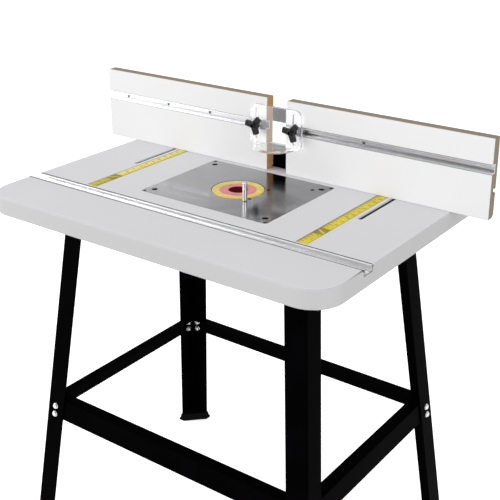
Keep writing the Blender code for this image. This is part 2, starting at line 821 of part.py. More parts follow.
def make_knob(name, place, bolt_radius, reach=KNOB_REACH):
    """A three-armed knob on local +Z: hub first, then the arms. Its bore is open at the hub."""
    middle = (reach + KNOB_WAIST) / 2
    swing = (reach - KNOB_WAIST) / 2
    steps = 8 * KNOB_ARMS
    outline = []
    for step in range(steps):
        angle = 2 * math.pi * step / steps
        radius = middle + swing * math.cos(KNOB_ARMS * angle)
        turned_angle = angle + KNOB_FIRST_ARM
        outline.append((radius * math.cos(turned_angle), radius * math.sin(turned_angle)))
    knob = plate(name, [outline], KNOB_HUB_LENGTH, KNOB_HUB_LENGTH + KNOB_BODY, "black_plastic")
    hub_end = (0, 0, KNOB_HUB_LENGTH + KNOB_BODY / 4)
    hub = cylinder(f"cutter_{name}_hub", KNOB_HUB_RADIUS, (0, 0, 0), hub_end, sides=16)
    bore_end = (0, 0, KNOB_BORE_DEPTH)
    bore = cylinder(f"cutter_{name}_bore", bolt_radius + GAP, (0, 0, -0.01), bore_end, sides=12)
    cut(join(knob, hub), bore)
    knob.data = evaluated_mesh(knob)
    knob.modifiers.clear()
    knob.matrix_world = place
    smooth(knob)
    return knob


def make_fence_clamps():
    base_top = TOP_Z + GAP + BRACKET_STEEL
    head_top = TOP_Z - SLOT_SHOULDER - GAP
    tip = base_top + GAP + KNOB_BORE_DEPTH - KNOB_BORE_END
    profile = [
        (0, tip),
        (CLAMP_BOLT_RADIUS, tip),
        (CLAMP_BOLT_RADIUS, head_top),
        (CLAMP_HEAD_RADIUS, head_top),
        (CLAMP_HEAD_RADIUS, head_top - CLAMP_HEAD_HEIGHT * 0.6),
        (CLAMP_HEAD_RADIUS * 0.6, head_top - CLAMP_HEAD_HEIGHT),
        (0, head_top - CLAMP_HEAD_HEIGHT),
    ]
    for sx, side in ((-1, "left"), (1, "right")):
        place = Matrix.Translation((sx * SLOT_X, CLAMP_Y, 0))
        smooth(turned(f"fence_clamp_bolt_{side}", profile, "zinc", place))
        knob_place = Matrix.Translation((sx * SLOT_X, CLAMP_Y, base_top + GAP))
        make_knob(f"fence_clamp_knob_{side}", knob_place, CLAMP_BOLT_RADIUS, CLAMP_KNOB_REACH)


def make_board_clamps():
    """Bolts whose heads slide in each board's rear groove, with a knob behind the bracket."""
    neck = FENCE_FACE_Y + BOARD_THICKNESS - REAR_GROOVE_LIP - GAP
    rear = FENCE_FACE_Y + BOARD_THICKNESS + GAP + BRACKET_STEEL
    shank_end = rear + GAP + KNOB_BORE_DEPTH - KNOB_BORE_END
    head_radius = REAR_GROOVE_CAVITY / 2 - 2 * GAP
    names = ("left_outer", "left_inner", "right_inner", "right_outer")
    for x, name in zip(BOARD_BOLT_X, names):
        profile = [
            (0, shank_end - neck),
            (GUARD_BOLT_RADIUS, shank_end - neck),
            (GUARD_BOLT_RADIUS, 0),
            (head_radius, 0),
            (head_radius, -T_BOLT_HEAD_HEIGHT),
            (0, -T_BOLT_HEAD_HEIGHT),
        ]
        place = along((x, neck, REAR_GROOVE_Z), (x, neck + 1, REAR_GROOVE_Z))
        smooth(turned(f"board_bolt_{name}", profile, "zinc", place))
        knob_place = along((x, rear + GAP, REAR_GROOVE_Z), (x, rear + 1, REAR_GROOVE_Z))
        make_knob(f"board_knob_{name}", knob_place, GUARD_BOLT_RADIUS)


# Guard


def make_guard():
    back = FENCE_FACE_Y - GAP
    front = back - GUARD_THICKNESS
    half = GUARD_WIDTH / 2
    outline = rounded_rectangle(
        (-half, TOP_Z + GUARD_LOW), (half, TOP_Z + GUARD_HIGH), GUARD_CORNER, ARC_STEPS
    )
    slots = []
    for sx in (-1, 1):
        x = sx * GUARD_BOLT_X
        w = GUARD_SLOT_WIDTH / 2
        slots.append(
            rounded_rectangle((x - w, TOP_Z + GUARD_SLOT_LOW), (x + w, TOP_Z + GUARD_SLOT_HIGH), w * 0.98, 3)
        )
    upright = Matrix(((1, 0, 0, 0), (0, 0, -1, 0), (0, 1, 0, 0), (0, 0, 0, 1)))
    guard = plate("guard", [outline] + slots, -back, -front, "clear_acrylic", upright)
    shelf = arc((0, front + 0.001), SHELF_RADIUS, 180, 360, 16)
    shelf_low = TOP_Z + GUARD_LOW
    disc = plate("cutter_guard_shelf", [shelf], shelf_low, shelf_low + GUARD_THICKNESS)
    join(guard, disc)


def make_guard_fixings():
    """A bolt whose head slides in the fence track, through the guard's slot, with a knob in front."""
    head_y = FENCE_FACE_Y + FENCE_TRACK_LIP + GAP
    front = FENCE_FACE_Y - GAP - GUARD_THICKNESS
    knob_y = front - 2 * GAP
    tip_y = knob_y - KNOB_BORE_DEPTH + KNOB_BORE_END
    head_radius = FENCE_TRACK_CAVITY / 2 - T_BOLT_HEAD_PLAY
    profile = [
        (0, head_y - tip_y),
        (GUARD_BOLT_RADIUS, head_y - tip_y),
        (GUARD_BOLT_RADIUS, 0),
        (head_radius, 0),
        (head_radius, -T_BOLT_HEAD_HEIGHT),
        (0, -T_BOLT_HEAD_HEIGHT),
    ]
    for sx, side in ((-1, "left"), (1, "right")):
        x = sx * GUARD_BOLT_X
        place = along((x, head_y, FENCE_TRACK_Z), (x, head_y - 1, FENCE_TRACK_Z))
        smooth(turned(f"guard_bolt_{side}", profile, "zinc", place))
        knob_place = along((x, knob_y, FENCE_TRACK_Z), (x, knob_y - 1, FENCE_TRACK_Z))
        make_knob(f"guard_knob_{side}", knob_place, GUARD_BOLT_RADIUS)


def set_origin(item, point):
    """Moves an object's origin without moving its shape."""
    item.data.transform(Matrix.Translation(-Vector(point)))
    item.location = point


def parent_fence():
    """Hangs every piece of the fence on one empty, which slides along Y."""
    fence = bpy.data.objects.new("fence_slide", None)
    fence.location = (0, FENCE_FACE_Y, TOP_Z)
    PARTS.objects.link(fence)
    for sx, side in ((-1, "left"), (1, "right")):
        point = (sx * (FENCE_GAP / 2), FENCE_FACE_Y, TOP_Z)
        set_origin(bpy.data.objects[f"fence_board_{side}"], point)
        set_origin(bpy.data.objects[f"fence_track_{side}"], point)
    bpy.context.view_layer.update()
    prefixes = ("fence_", "board_", "guard")
    for item in PARTS.objects:
        if item.type == "MESH" and item.name.startswith(prefixes):
            item.parent = fence
            item.matrix_parent_inverse = fence.matrix_world.inverted()


def main():
    make_top()
    make_miter_track()
    make_insert_plate()
    make_plate_screws()
    make_rings()
    make_starting_pin()
    make_scale_tapes()
    make_stand()
    make_boards()
    make_fence_tracks()
    make_bracket()
    make_fence_clamps()
    make_board_clamps()
    make_guard()
    make_guard_fixings()
    parent_fence()


main()
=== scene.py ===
"""Looks for the router table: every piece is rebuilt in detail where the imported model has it."""

import math

import bmesh
import bpy
from mathutils import Matrix, Vector


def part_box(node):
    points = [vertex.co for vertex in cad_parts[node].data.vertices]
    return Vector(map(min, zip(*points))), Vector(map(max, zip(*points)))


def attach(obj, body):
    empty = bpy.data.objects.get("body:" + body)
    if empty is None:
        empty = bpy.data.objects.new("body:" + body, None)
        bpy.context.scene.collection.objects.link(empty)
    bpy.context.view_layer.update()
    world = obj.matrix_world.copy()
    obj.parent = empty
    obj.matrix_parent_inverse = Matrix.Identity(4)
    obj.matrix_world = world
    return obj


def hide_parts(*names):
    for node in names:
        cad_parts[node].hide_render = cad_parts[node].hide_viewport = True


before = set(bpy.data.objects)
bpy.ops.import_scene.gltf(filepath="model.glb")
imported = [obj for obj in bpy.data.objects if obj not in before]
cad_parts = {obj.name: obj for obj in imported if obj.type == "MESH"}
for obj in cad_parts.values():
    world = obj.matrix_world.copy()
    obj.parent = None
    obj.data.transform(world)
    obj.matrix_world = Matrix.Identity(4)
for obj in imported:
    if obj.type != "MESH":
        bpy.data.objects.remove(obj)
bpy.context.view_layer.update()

# Lengths are in metres. STEEL is the stand's sheet, and CLEARANCE is the gap that neighbours keep.
STEEL = 0.0025
BRACKET_STEEL = 0.003
CLEARANCE = 0.0003
SIDES = {"left": -1, "right": 1}
CORNERS = {
    "front_left": (-1, -1),
    "front_right": (1, -1),
    "back_left": (-1, 1),
    "back_right": (1, 1),
}


# Materials


class Shader:
    """A Principled material and short calls that add nodes to it. Textures read object coordinates."""

    def __init__(self, name, colour=(0.8, 0.8, 0.8), roughness=0.5, metallic=0.0, **sockets):
        self.material = bpy.data.materials.new(name)
        self.material.use_nodes = True
        self.tree = self.material.node_tree
        self.principled = self.tree.nodes["Principled BSDF"]
        self.give("Base Color", colour)
        self.give("Roughness", roughness)
        self.give("Metallic", metallic)
        for socket, value in sockets.items():
            self.give(socket.replace("_", " ").title().replace("Ior", "IOR"), value)
        self.place = self.add("ShaderNodeTexCoord").outputs["Object"]

    def add(self, kind, **settings):
        node = self.tree.nodes.new(kind)
        for key, value in settings.items():
            setattr(node, key, value)
        return node

    def put(self, socket, value):
        if isinstance(value, bpy.types.NodeSocket):
            self.tree.links.new(value, socket)
        elif socket.type == "RGBA" and len(value) == 3:
            socket.default_value = (*value, 1.0)
        else:
            socket.default_value = value

    def give(self, socket, value):
        self.put(self.principled.inputs[socket], value)

    def stretched(self, scale):
        node = self.add("ShaderNodeMapping")
        self.put(node.inputs["Vector"], self.place)
        node.inputs["Scale"].default_value = scale
        return node.outputs["Vector"]

    def noise(self, scale, detail=3.0, roughness=0.55, stretch=None, distortion=0.0):
        node = self.add("ShaderNodeTexNoise")
        self.put(node.inputs["Vector"], self.stretched(stretch) if stretch else self.place)
        node.inputs["Scale"].default_value = scale
        node.inputs["Detail"].default_value = detail
        node.inputs["Roughness"].default_value = roughness
        node.inputs["Distortion"].default_value = distortion
        return node.outputs["Fac"]

    def spread(self, value, low, high, to_low, to_high):
        """value mapped from low..high to to_low..to_high, and held at the ends."""
        node = self.add("ShaderNodeMapRange")
        self.put(node.inputs["Value"], value)
        for key, number in zip(("From Min", "From Max", "To Min", "To Max"), (low, high, to_low, to_high)):
            node.inputs[key].default_value = number
        return node.outputs["Result"]

    def mix(self, factor, first, second, blend="MIX"):
        node = self.add("ShaderNodeMix", data_type="RGBA", blend_type=blend)
        self.put(node.inputs[0], factor)
        self.put(node.inputs[6], first)
        self.put(node.inputs[7], second)
        return node.outputs[2]

    def math(self, operation, first, second=0.0):
        node = self.add("ShaderNodeMath", operation=operation)
        self.put(node.inputs[0], first)
        self.put(node.inputs[1], second)
        return node.outputs[0]

    def axis(self, name):
        node = self.add("ShaderNodeSeparateXYZ")
        self.put(node.inputs[0], self.place)
        return node.outputs[name]

    def bump(self, height, strength, distance):
        node = self.add("ShaderNodeBump")
        node.inputs["Strength"].default_value = strength
        node.inputs["Distance"].default_value = distance
        self.put(node.inputs["Height"], height)
        self.give("Normal", node.outputs["Normal"])


def laminate(name, light, dark, roughness, gloss=0.12):
    """White melamine: a pale tone that drifts a little, a faint speckle and an orange-peel surface."""
    shader = Shader(name, specular_ior_level=gloss)
    drift = shader.spread(shader.noise(2.5, 2.0), 0.25, 0.75, 0.0, 1.0)
    tone = shader.mix(drift, dark, light)
    speckle = shader.spread(shader.noise(1300.0, 2.0), 0.62, 0.74, 0.0, 0.06)
    shader.give("Base Color", shader.mix(speckle, tone, (0.42, 0.42, 0.43)))
    haze = shader.noise(6.0, 3.0, 0.6)
    shader.give("Roughness", shader.spread(haze, 0.2, 0.8, roughness - 0.03, roughness + 0.05))
    shader.bump(shader.noise(900.0, 2.0, 0.5), 0.06, 0.0002)
    return shader.material


def fibreboard(name, light, dark, faces_y, shade):
    """Raw fibreboard edge with the white skins of its two faces showing as thin lines."""
    shader = Shader(name, roughness=0.85, specular_ior_level=0.2)
    fibres = shader.noise(1.0, 6.0, 0.7, (260.0, 1600.0, 1600.0), 0.6)
    blotch = shader.spread(shader.noise(70.0, 3.0), 0.3, 0.7, 0.0, 0.5)
    grain = shader.spread(fibres, 0.35, 0.65, 0.0, 1.0)
    body = shader.mix(blotch, shader.mix(grain, dark, light), shade)
    y = shader.axis("Y")
    front = shader.math("LESS_THAN", y, faces_y[0] + 0.0011)
    back = shader.math("GREATER_THAN", y, faces_y[1] - 0.0009)
    skin = shader.math("MAXIMUM", front, back)
    shader.give("Base Color", shader.mix(skin, body, (0.74, 0.74, 0.74)))
    shader.bump(fibres, 0.55, 0.0005)
    return shader.material


def brushed_plate(name):
    """Ground steel plate: brush lines along X, slow waves that bend what it mirrors, and smoky tone that
    darkens towards +X as a painted reflection of the dark fence gap.
    """
    shader = Shader(name, metallic=1.0)
    lines = shader.noise(1.0, 4.0, 0.65, (25.0, 1500.0, 1500.0))
    smoke = shader.spread(shader.noise(16.0, 3.0, 0.5, (0.8, 1.0, 1.0), 0.4), 0.38, 0.66, 0.0, 1.0)
    # Darker towards +X, with the smoky patches strongest there: painted reflection of the dark fence gap on
    # that side.
    across = shader.spread(shader.axis("X"), -0.04, 0.09, 0.0, 1.0)
    tone = shader.mix(across, (0.385, 0.385, 0.395), (0.280, 0.280, 0.287))
    painted_reflection_amount = shader.math("MULTIPLY", smoke, shader.spread(across, 0.0, 1.0, 0.08, 0.42))
    tone = shader.mix(painted_reflection_amount, tone, (0.17, 0.17, 0.175))
    streak = shader.spread(lines, 0.3, 0.7, 0.0, 0.20)
    shader.give("Base Color", shader.mix(streak, tone, (0.18, 0.18, 0.185)))
    shader.give("Roughness", shader.spread(smoke, 0.0, 1.0, 0.11, 0.20))
    waves = shader.math("MULTIPLY", shader.noise(9.0, 1.5), 10.0)
    shader.bump(shader.math("ADD", waves, lines), 0.05, 0.00012)
    return shader.material


def metal(name, colour, roughness, stretch=(12.0, 2600.0, 2600.0), depth=0.02, dark=0.80):
    """Metal with fine draw or brush lines along one axis, and a slow change of sheen."""
    shader = Shader(name, colour, roughness, 1.0)
    lines = shader.noise(1.0, 3.0, 0.6, stretch)
    cloud = shader.noise(14.0, 3.0)
    darker = tuple(dark * part for part in colour)
    shader.give("Base Color", shader.mix(shader.spread(lines, 0.3, 0.7, 0.0, 1.0), darker, colour))
    rough = shader.math("ADD", shader.math("MULTIPLY", lines, 0.10), shader.math("MULTIPLY", cloud, 0.08))
    shader.give("Roughness", shader.math("ADD", rough, roughness - 0.09))
    shader.bump(lines, depth, 0.00012)
    return shader.material


def plated(name, colour, roughness):
    """Bright zinc: a fine grain with faint duller patches."""
    shader = Shader(name, colour, roughness, 1.0)
    grain = shader.noise(700.0, 4.0)
    patches = shader.spread(shader.noise(90.0, 3.0), 0.45, 0.75, 0.0, 0.6)
    dull = tuple(0.62 * part for part in colour)
    shader.give("Base Color", shader.mix(patches, colour, dull))
    shader.give("Roughness", shader.spread(grain, 0.3, 0.7, roughness - 0.05, roughness + 0.12))
    shader.bump(grain, 0.08, 0.0002)
    return shader.material


def powder_coat(name):
    """Satin black paint with a fine orange peel and a slow cloudy change of tone."""
    shader = Shader(name, (0.0008, 0.0008, 0.001), 0.40, specular_ior_level=0.004)
    peel = shader.noise(650.0, 3.0, 0.5)
    cloud = shader.noise(16.0, 4.0)
    tone = shader.spread(cloud, 0.35, 0.7, 0.0, 1.0)
    shader.give("Base Color", shader.mix(tone, (0.0002, 0.0002, 0.0003), (0.0009, 0.0008, 0.0012)))
    shader.give("Roughness", shader.spread(cloud, 0.3, 0.7, 0.34, 0.48))
    shader.bump(peel, 0.12, 0.0003)
    return shader.material


def plastic(name, colour, roughness, grain, depth, **sockets):
    """Moulded plastic: spark-eroded grain and a slight drift of tone."""
    shader = Shader(name, colour, roughness, **sockets)
    texture = shader.noise(grain, 3.0, 0.6)
    slow = shader.spread(shader.noise(60.0, 3.0), 0.3, 0.7, 0.0, 1.0)
    darker = tuple(0.76 * part for part in colour)
    shader.give("Base Color", shader.mix(slow, darker, colour))
    shader.give("Roughness", shader.spread(texture, 0.3, 0.7, roughness - 0.05, roughness + 0.08))
    shader.bump(texture, depth, 0.0002)
    return shader.material


def clear_acrylic(name):
    """Clear sheet with a thin milky film that varies, and faint scuffs."""
    shader = Shader(
        name, (0.95, 0.95, 0.955), 0.02, transmission_weight=0.80, ior=1.49, specular_ior_level=0.5
    )
    shader.give("Roughness", shader.spread(shader.noise(40.0, 6.0, 0.7), 0.5, 0.8, 0.0, 0.05))
    shader.give("Transmission Weight", shader.spread(shader.noise(22.0, 2.0), 0.3, 0.7, 0.86, 0.92))
    shader.bump(shader.noise(30.0, 2.0), 0.015, 0.0003)
    return shader.material


def printed_scale(name, start_y, edge_x, inward, width, sunned):
    """Yellow tape: ticks along one edge, olive borders and a darker printed block near its start."""
    shader = Shader(name, (0.78, 0.68, 0.03), 0.30, specular_ior_level=0.14)
    ticks = ((0.002, 0.0007, 0.0052), (0.010, 0.0013, 0.0094), (0.050, 0.0016, 0.0140))
    block_start, block_end = 0.050, 0.078
    slash_at, slash_half, slash_lean = 0.0715, 0.0030, 0.7
    border_width = 0.0018
    along = shader.math("SUBTRACT", shader.axis("Y"), start_y)
    across = shader.math("MULTIPLY", shader.math("SUBTRACT", shader.axis("X"), edge_x), inward)
    ink = None
    for step, thick, length in ticks:
        phase = shader.math("FRACT", shader.math("DIVIDE", shader.math("ADD", along, thick / 2), step))
        line = shader.math("LESS_THAN", phase, thick / step)
        tick = shader.math("MULTIPLY", line, shader.math("LESS_THAN", across, length))
        ink = tick if ink is None else shader.math("MAXIMUM", ink, tick)
    fade = shader.spread(shader.noise(25.0, 4.0), 0.3, 0.7, 0.0, 1.0)
    yellow = shader.mix(fade, (0.60, 0.480, 0.020), (0.74, 0.600, 0.030))
    start = shader.mix(sunned, yellow, (0.50, 0.430, 0.012))
    rest = shader.mix(sunned, yellow, (0.78, 0.67, 0.16))
    yellow = shader.mix(shader.math("GREATER_THAN", along, block_end), start, rest)
    past_start = shader.math("GREATER_THAN", along, block_start)
    block = shader.math("MULTIPLY", past_start, shader.math("LESS_THAN", along, block_end))
    slant = shader.math("ADD", along, shader.math("MULTIPLY", across, slash_lean))
    slash = shader.math("ABSOLUTE", shader.math("SUBTRACT", slant, slash_at))
    block = shader.math("MULTIPLY", block, shader.math("GREATER_THAN", slash, slash_half))
    far_border = shader.math("GREATER_THAN", across, width - border_width)
    border = shader.math("MAXIMUM", shader.math("LESS_THAN", across, border_width), far_border)
    dark = shader.math("MAXIMUM", shader.math("MULTIPLY", block, 0.80), shader.math("MULTIPLY", border, 0.62))
    printed = shader.mix(dark, yellow, (0.17, 0.15, 0.012))
    shader.give("Base Color", shader.mix(shader.math("MULTIPLY", ink, 0.88), printed, (0.06, 0.05, 0.01)))
    shader.give("Roughness", shader.spread(shader.noise(200.0), 0.3, 0.7, 0.26, 0.38))
    shader.bump(shader.noise(60.0, 2.0), 0.03, 0.0002)
    return shader.material


board_low, board_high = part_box("fence_board_left")
BOARD_FACES = (board_low.y, board_high.y)
NO_FACES = (-9.0, 9.0)
END_COLOURS = ((0.60, 0.36, 0.155), (0.36, 0.19, 0.075), BOARD_FACES, (0.50, 0.29, 0.12))
EDGE_COLOURS = ((0.34, 0.285, 0.22), (0.20, 0.165, 0.12), BOARD_FACES, (0.28, 0.235, 0.18))
CORE_COLOURS = ((0.46, 0.29, 0.15), (0.28, 0.16, 0.08), NO_FACES, (0.40, 0.25, 0.13))
MAT = {
    # One white melamine in three tones: the top is darker than the fence boards and the rim darker still, as
    # painted shade for how the light falls on them.
    "top": laminate("top_laminate_painted_shade", (0.662, 0.659, 0.676), (0.640, 0.636, 0.654), 0.56, 0.06),
    "edge": laminate("rim_laminate_painted_shade", (0.535, 0.533, 0.540), (0.512, 0.510, 0.517), 0.50),
    "board": laminate("board_laminate", (0.742, 0.742, 0.748), (0.728, 0.728, 0.735), 0.48),
    "mdf": fibreboard("fibreboard_end", *END_COLOURS),
    "mdf_top": fibreboard("fibreboard_edge", *EDGE_COLOURS),
    # Near-black for the slot walls below the white lips and for the walls beside the mitre track: painted
    # shade in those narrow recesses.
    "painted_shade_black": plastic("painted_shade_black_slot_wall", (0.020, 0.020, 0.022), 0.60, 500.0, 0.25),
    "core": fibreboard("fibreboard_core", *CORE_COLOURS),
    "bright": metal("satin_aluminium", (0.84, 0.84, 0.85), 0.38),
    # A darker, glossier copy for the right track: its darker tone is painted shade.
    "satin": metal("satin_aluminium_painted_shade", (0.78, 0.78, 0.79), 0.20),
    "dull": metal("dull_darker_aluminium", (0.66, 0.66, 0.67), 0.40),
    "track": metal("mitre_aluminium", (0.93, 0.93, 0.94), 0.30),
    # Dark grey aluminium: painted shade on the sawn ends of the tracks and in the seams beside them.
    "painted_shade_grey": metal("painted_shade_grey_aluminium", (0.24, 0.24, 0.25), 0.45, (900.0, 900.0, 900.0), 0.1),
    "plate": brushed_plate("ground_plate"),
    "zinc": plated("bright_zinc", (0.78, 0.79, 0.80), 0.22),
    # The pin's deep dark streaks (dark=0.45) are painted reflections of dark surroundings, not draw lines.
    "chrome": metal("ground_steel", (0.93, 0.93, 0.94), 0.07, (520.0, 520.0, 4.0), 0.01, 0.45),
    "black_steel": powder_coat("black_powder_coat"),
    "black_plastic": plastic(
        "black_knob_plastic", (0.006, 0.006, 0.006), 0.34, 900.0, 0.12, specular_ior_level=0.36
    ),
    "yellow": plastic("yellow_ring_plastic", (0.80, 0.61, 0.085), 0.24, 700.0, 0.08),
    "red": plastic("red_ring_plastic", (0.75, 0.205, 0.215), 0.20, 700.0, 0.06),
    # A much darker copy of the red for the bore wall: painted shade inside the hole.
    "painted_shade_red": plastic("red_ring_bore_painted_shade", (0.115, 0.002, 0.004), 0.5, 700.0, 0.10, specular_ior_level=0.1),
    "rubber": plastic("black_rubber", (0.0022, 0.0022, 0.0024), 0.75, 400.0, 0.5, specular_ior_level=0.06),
    "screw": plastic("black_oxide", (0.0015, 0.0015, 0.002), 0.60, 700.0, 0.10, specular_ior_level=0.004),
    "ink": plastic("black_ink", (0.03, 0.028, 0.01), 0.5, 500.0, 0.05),
    "acrylic": clear_acrylic("clear_acrylic"),
}


# Shapes


def arc(centre, radius, start, end, steps=8):
    angles = (math.radians(start + (end - start) * i / steps) for i in range(steps + 1))
    return [(centre[0] + radius * math.cos(a), centre[1] + radius * math.sin(a)) for a in angles]


def circle(centre, radius, steps=32):
    return arc(centre, radius, 0, 360, steps)[:-1]


def rounded_rectangle(low, high, radius, steps=8):
    (x0, y0), (x1, y1) = low, high
    return (
        arc((x1 - radius, y1 - radius), radius, 0, 90, steps)
        + arc((x0 + radius, y1 - radius), radius, 90, 180, steps)
        + arc((x0 + radius, y0 + radius), radius, 180, 270, steps)
        + arc((x1 - radius, y0 + radius), radius, 270, 360, steps)
    )


def along(start, direction):
    """The matrix that stands local Z at start, pointing along direction."""
    turn = Vector(direction).normalized().to_track_quat("Z", "Y").to_matrix().to_4x4()
    return Matrix.Translation(Vector(start)) @ turn


def loft(rings):
    """A form through rings of points with equal counts, capped at both ends."""
    form = bmesh.new()
    rows = [[form.verts.new(point) for point in ring] for ring in rings]
    count = len(rows[0])
    for lower, upper in zip(rows, rows[1:]):
        for i in range(count):
            j = (i + 1) % count
            form.faces.new((lower[i], lower[j], upper[j], upper[i]))
    form.faces.new(rows[0])
    form.faces.new(rows[-1])
    bmesh.ops.recalc_face_normals(form, faces=form.faces)
    return form


def prism(outline, low, high):
    return loft([[(x, y, low) for x, y in outline], [(x, y, high) for x, y in outline]])


def bar(section, start_x, end_x):
    """A piece along X with a (y, z) section."""
    return loft([[(start_x, y, z) for y, z in section], [(end_x, y, z) for y, z in section]])


def cube(low, high):
    (x0, y0, z0), (x1, y1, z1) = low, high
    return prism([(x0, y0), (x1, y0), (x1, y1), (x0, y1)], z0, z1)


def lathe(profile, steps=48):
    """A turned form about Z. Its (radius, height) profile closes on itself or runs from axis to axis."""
    form = bmesh.new()
    rows = []
    for radius, height in profile:
        if radius < 1e-7:
            rows.append([form.verts.new((0, 0, height))] * steps)
            continue
        ring = circle((0, 0), radius, steps)
        rows.append([form.verts.new((x, y, height)) for x, y in ring])
    on_axis = profile[0][0] < 1e-7
    pairs = zip(rows, rows[1:]) if on_axis else zip(rows, rows[1:] + rows[:1])
    for upper, lower in pairs:
        for i in range(steps):
            j = (i + 1) % steps
            corners = list(dict.fromkeys((upper[i], upper[j], lower[j], lower[i])))
            form.faces.new(corners)
    bmesh.ops.recalc_face_normals(form, faces=form.faces)
    return form


def rod(radius, low, high, steps):
    return lathe([(0, high), (radius, high), (radius, low), (0, low)], steps)


def mirrored(half):
    """A symmetric run of (across, level) points from its first half."""
    return half + [(-across, level) for across, level in reversed(half)]


def sheet(outlines, low, high):
    """A flat form with holes: the first outline, less the others."""
    curve = bpy.data.curves.new("sheet", "CURVE")
    curve.dimensions = "2D"
    curve.fill_mode = "BOTH"
    curve.extrude = (high - low) / 2
    for outline in outlines:
        spline = curve.splines.new("POLY")
        spline.points.add(len(outline) - 1)
        spline.use_cyclic_u = True
        for point, (x, y) in zip(spline.points, outline):
            point.co = (x, y, 0, 1)
    guide = bpy.data.objects.new("sheet", curve)
    bpy.context.collection.objects.link(guide)
    form = evaluated(guide)
    bmesh.ops.remove_doubles(form, verts=form.verts, dist=1e-6)
    bmesh.ops.translate(form, verts=form.verts, vec=(0, 0, (low + high) / 2))
    bmesh.ops.dissolve_limit(form, angle_limit=0.001, verts=form.verts, edges=form.edges)
    bmesh.ops.recalc_face_normals(form, faces=form.faces)
    return form


def evaluated(item):
    """The object's mesh with its modifiers applied, as a form. The object is removed."""
    bpy.context.view_layer.update()
    graph = bpy.context.evaluated_depsgraph_get()
    mesh = bpy.data.meshes.new_from_object(item.evaluated_get(graph))
    form = bmesh.new()
    form.from_mesh(mesh)
    bpy.data.meshes.remove(mesh)
    bpy.data.objects.remove(item)
    return form


def as_object(form, name="work"):
    mesh = bpy.data.meshes.new(name)
    form.to_mesh(mesh)
    form.free()
    item = bpy.data.objects.new(name, mesh)
    bpy.context.collection.objects.link(item)
    return item


def carve(form, cutters, operation="DIFFERENCE", eased=0.0, segments=3):
    """The form less its cutters, or joined to them. Its own edges are rounded first when eased is given."""
    target = as_object(form)
    if eased:
        round_edges(target, eased, segments)
    tools = [as_object(cutter, "tool") for cutter in cutters]
    for tool in tools:
        modifier = target.modifiers.new("carve", "BOOLEAN")
        modifier.operation = operation
        modifier.solver = "EXACT"
        modifier.object = tool
    result = evaluated(target)
    for tool in tools:
        bpy.data.objects.remove(tool)
    return result


def round_edges(item, width, segments=2, angle=32):
    bevel = item.modifiers.new("rounded_edges", "BEVEL")
    bevel.width = width
    bevel.segments = segments
    bevel.limit_method = "ANGLE"
    bevel.angle_limit = math.radians(angle)
    bevel.miter_outer = "MITER_ARC"
    bevel.harden_normals = True


def merged(*forms):
    """Several forms in one."""
    result = bmesh.new()
    for form in forms:
        mesh = bpy.data.meshes.new("merged")
        form.to_mesh(mesh)
        form.free()
        result.from_mesh(mesh)
        bpy.data.meshes.remove(mesh)
    return result


def moved(form, matrix):
    bmesh.ops.transform(form, matrix=matrix, verts=form.verts)
    return form


def shifted(form, x, y, z):
    return moved(form, Matrix.Translation((x, y, z)))


def piece(name, form, material, body, replaced=(), edge=0.0, segments=2, angle=32):
    """Finishes a form as a piece on a body. material is a name, or a function of a face that gives one."""
    form.normal_update()
    chosen = [material if isinstance(material, str) else material(face) for face in form.faces]
    names = list(dict.fromkeys(chosen))
    for face, key in zip(form.faces, chosen):
        face.material_index = names.index(key)
    item = as_object(form, name)
    for key in names:
        item.data.materials.append(MAT[key])
    item.data.shade_smooth()
    item.data.set_sharp_from_angle(angle=math.radians(angle))
    if edge:
        round_edges(item, edge, segments, angle)
    flat = item.modifiers.new("flat_faces_stay_flat", "WEIGHTED_NORMAL")
    flat.keep_sharp = True
    if replaced:
        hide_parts(replaced)
    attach(item, body)
    return item


def middle(node):
    low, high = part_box(node)
    return (low + high) / 2


# Table top


top_low, top_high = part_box("table_top")
plate_low, plate_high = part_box("insert_plate")
TOP_Z = top_high.z
TOP_CORNER = 0.060
CLAMP_X = middle("fence_clamp_bolt_right").x
CLAMP_Y = middle("fence_clamp_bolt_right").y
SLOT_Y = (0.0, 0.232)
SLOT_HALF = 0.005


def top_face(face):
    """Laminate above and below, a darker laminate on the rim as painted shade, near-black slot walls as
    painted shade, and bare core on other cuts.
    """
    centre = face.calc_center_median()
    over_x = max(abs(centre.x) - top_high.x + TOP_CORNER, 0)
    over_y = max(abs(centre.y) - top_high.y + TOP_CORNER, 0)
    if math.hypot(over_x, over_y) > TOP_CORNER - 0.0045:
        # Rim faces, the rounding included, take the darker rim laminate as painted shade, which also keeps a
        # highlight off the rounding.
        return "edge" if face.normal.z < 0.93 else "top"
    if abs(centre.z - TOP_Z) < 0.0012 and face.normal.z > 0.5:
        return "top"
    if centre.z < top_low.z + 0.0005:
        return "top"
    near_slot = abs(abs(centre.x) - CLAMP_X) < 0.0125 and centre.y > -0.010
    near_track = centre.y < -0.150
    # Slot walls and the walls beside the mitre track are near-black as painted shade.
    return "painted_shade_black" if near_slot or near_track else "core"


def slot_outline(x, inset, radius):
    """A fence slot seen from above, with its walls moved in by inset."""
    half = SLOT_HALF - inset
    return rounded_rectangle((x - half, SLOT_Y[0] + inset), (x + half, SLOT_Y[1] - inset), radius, 8)


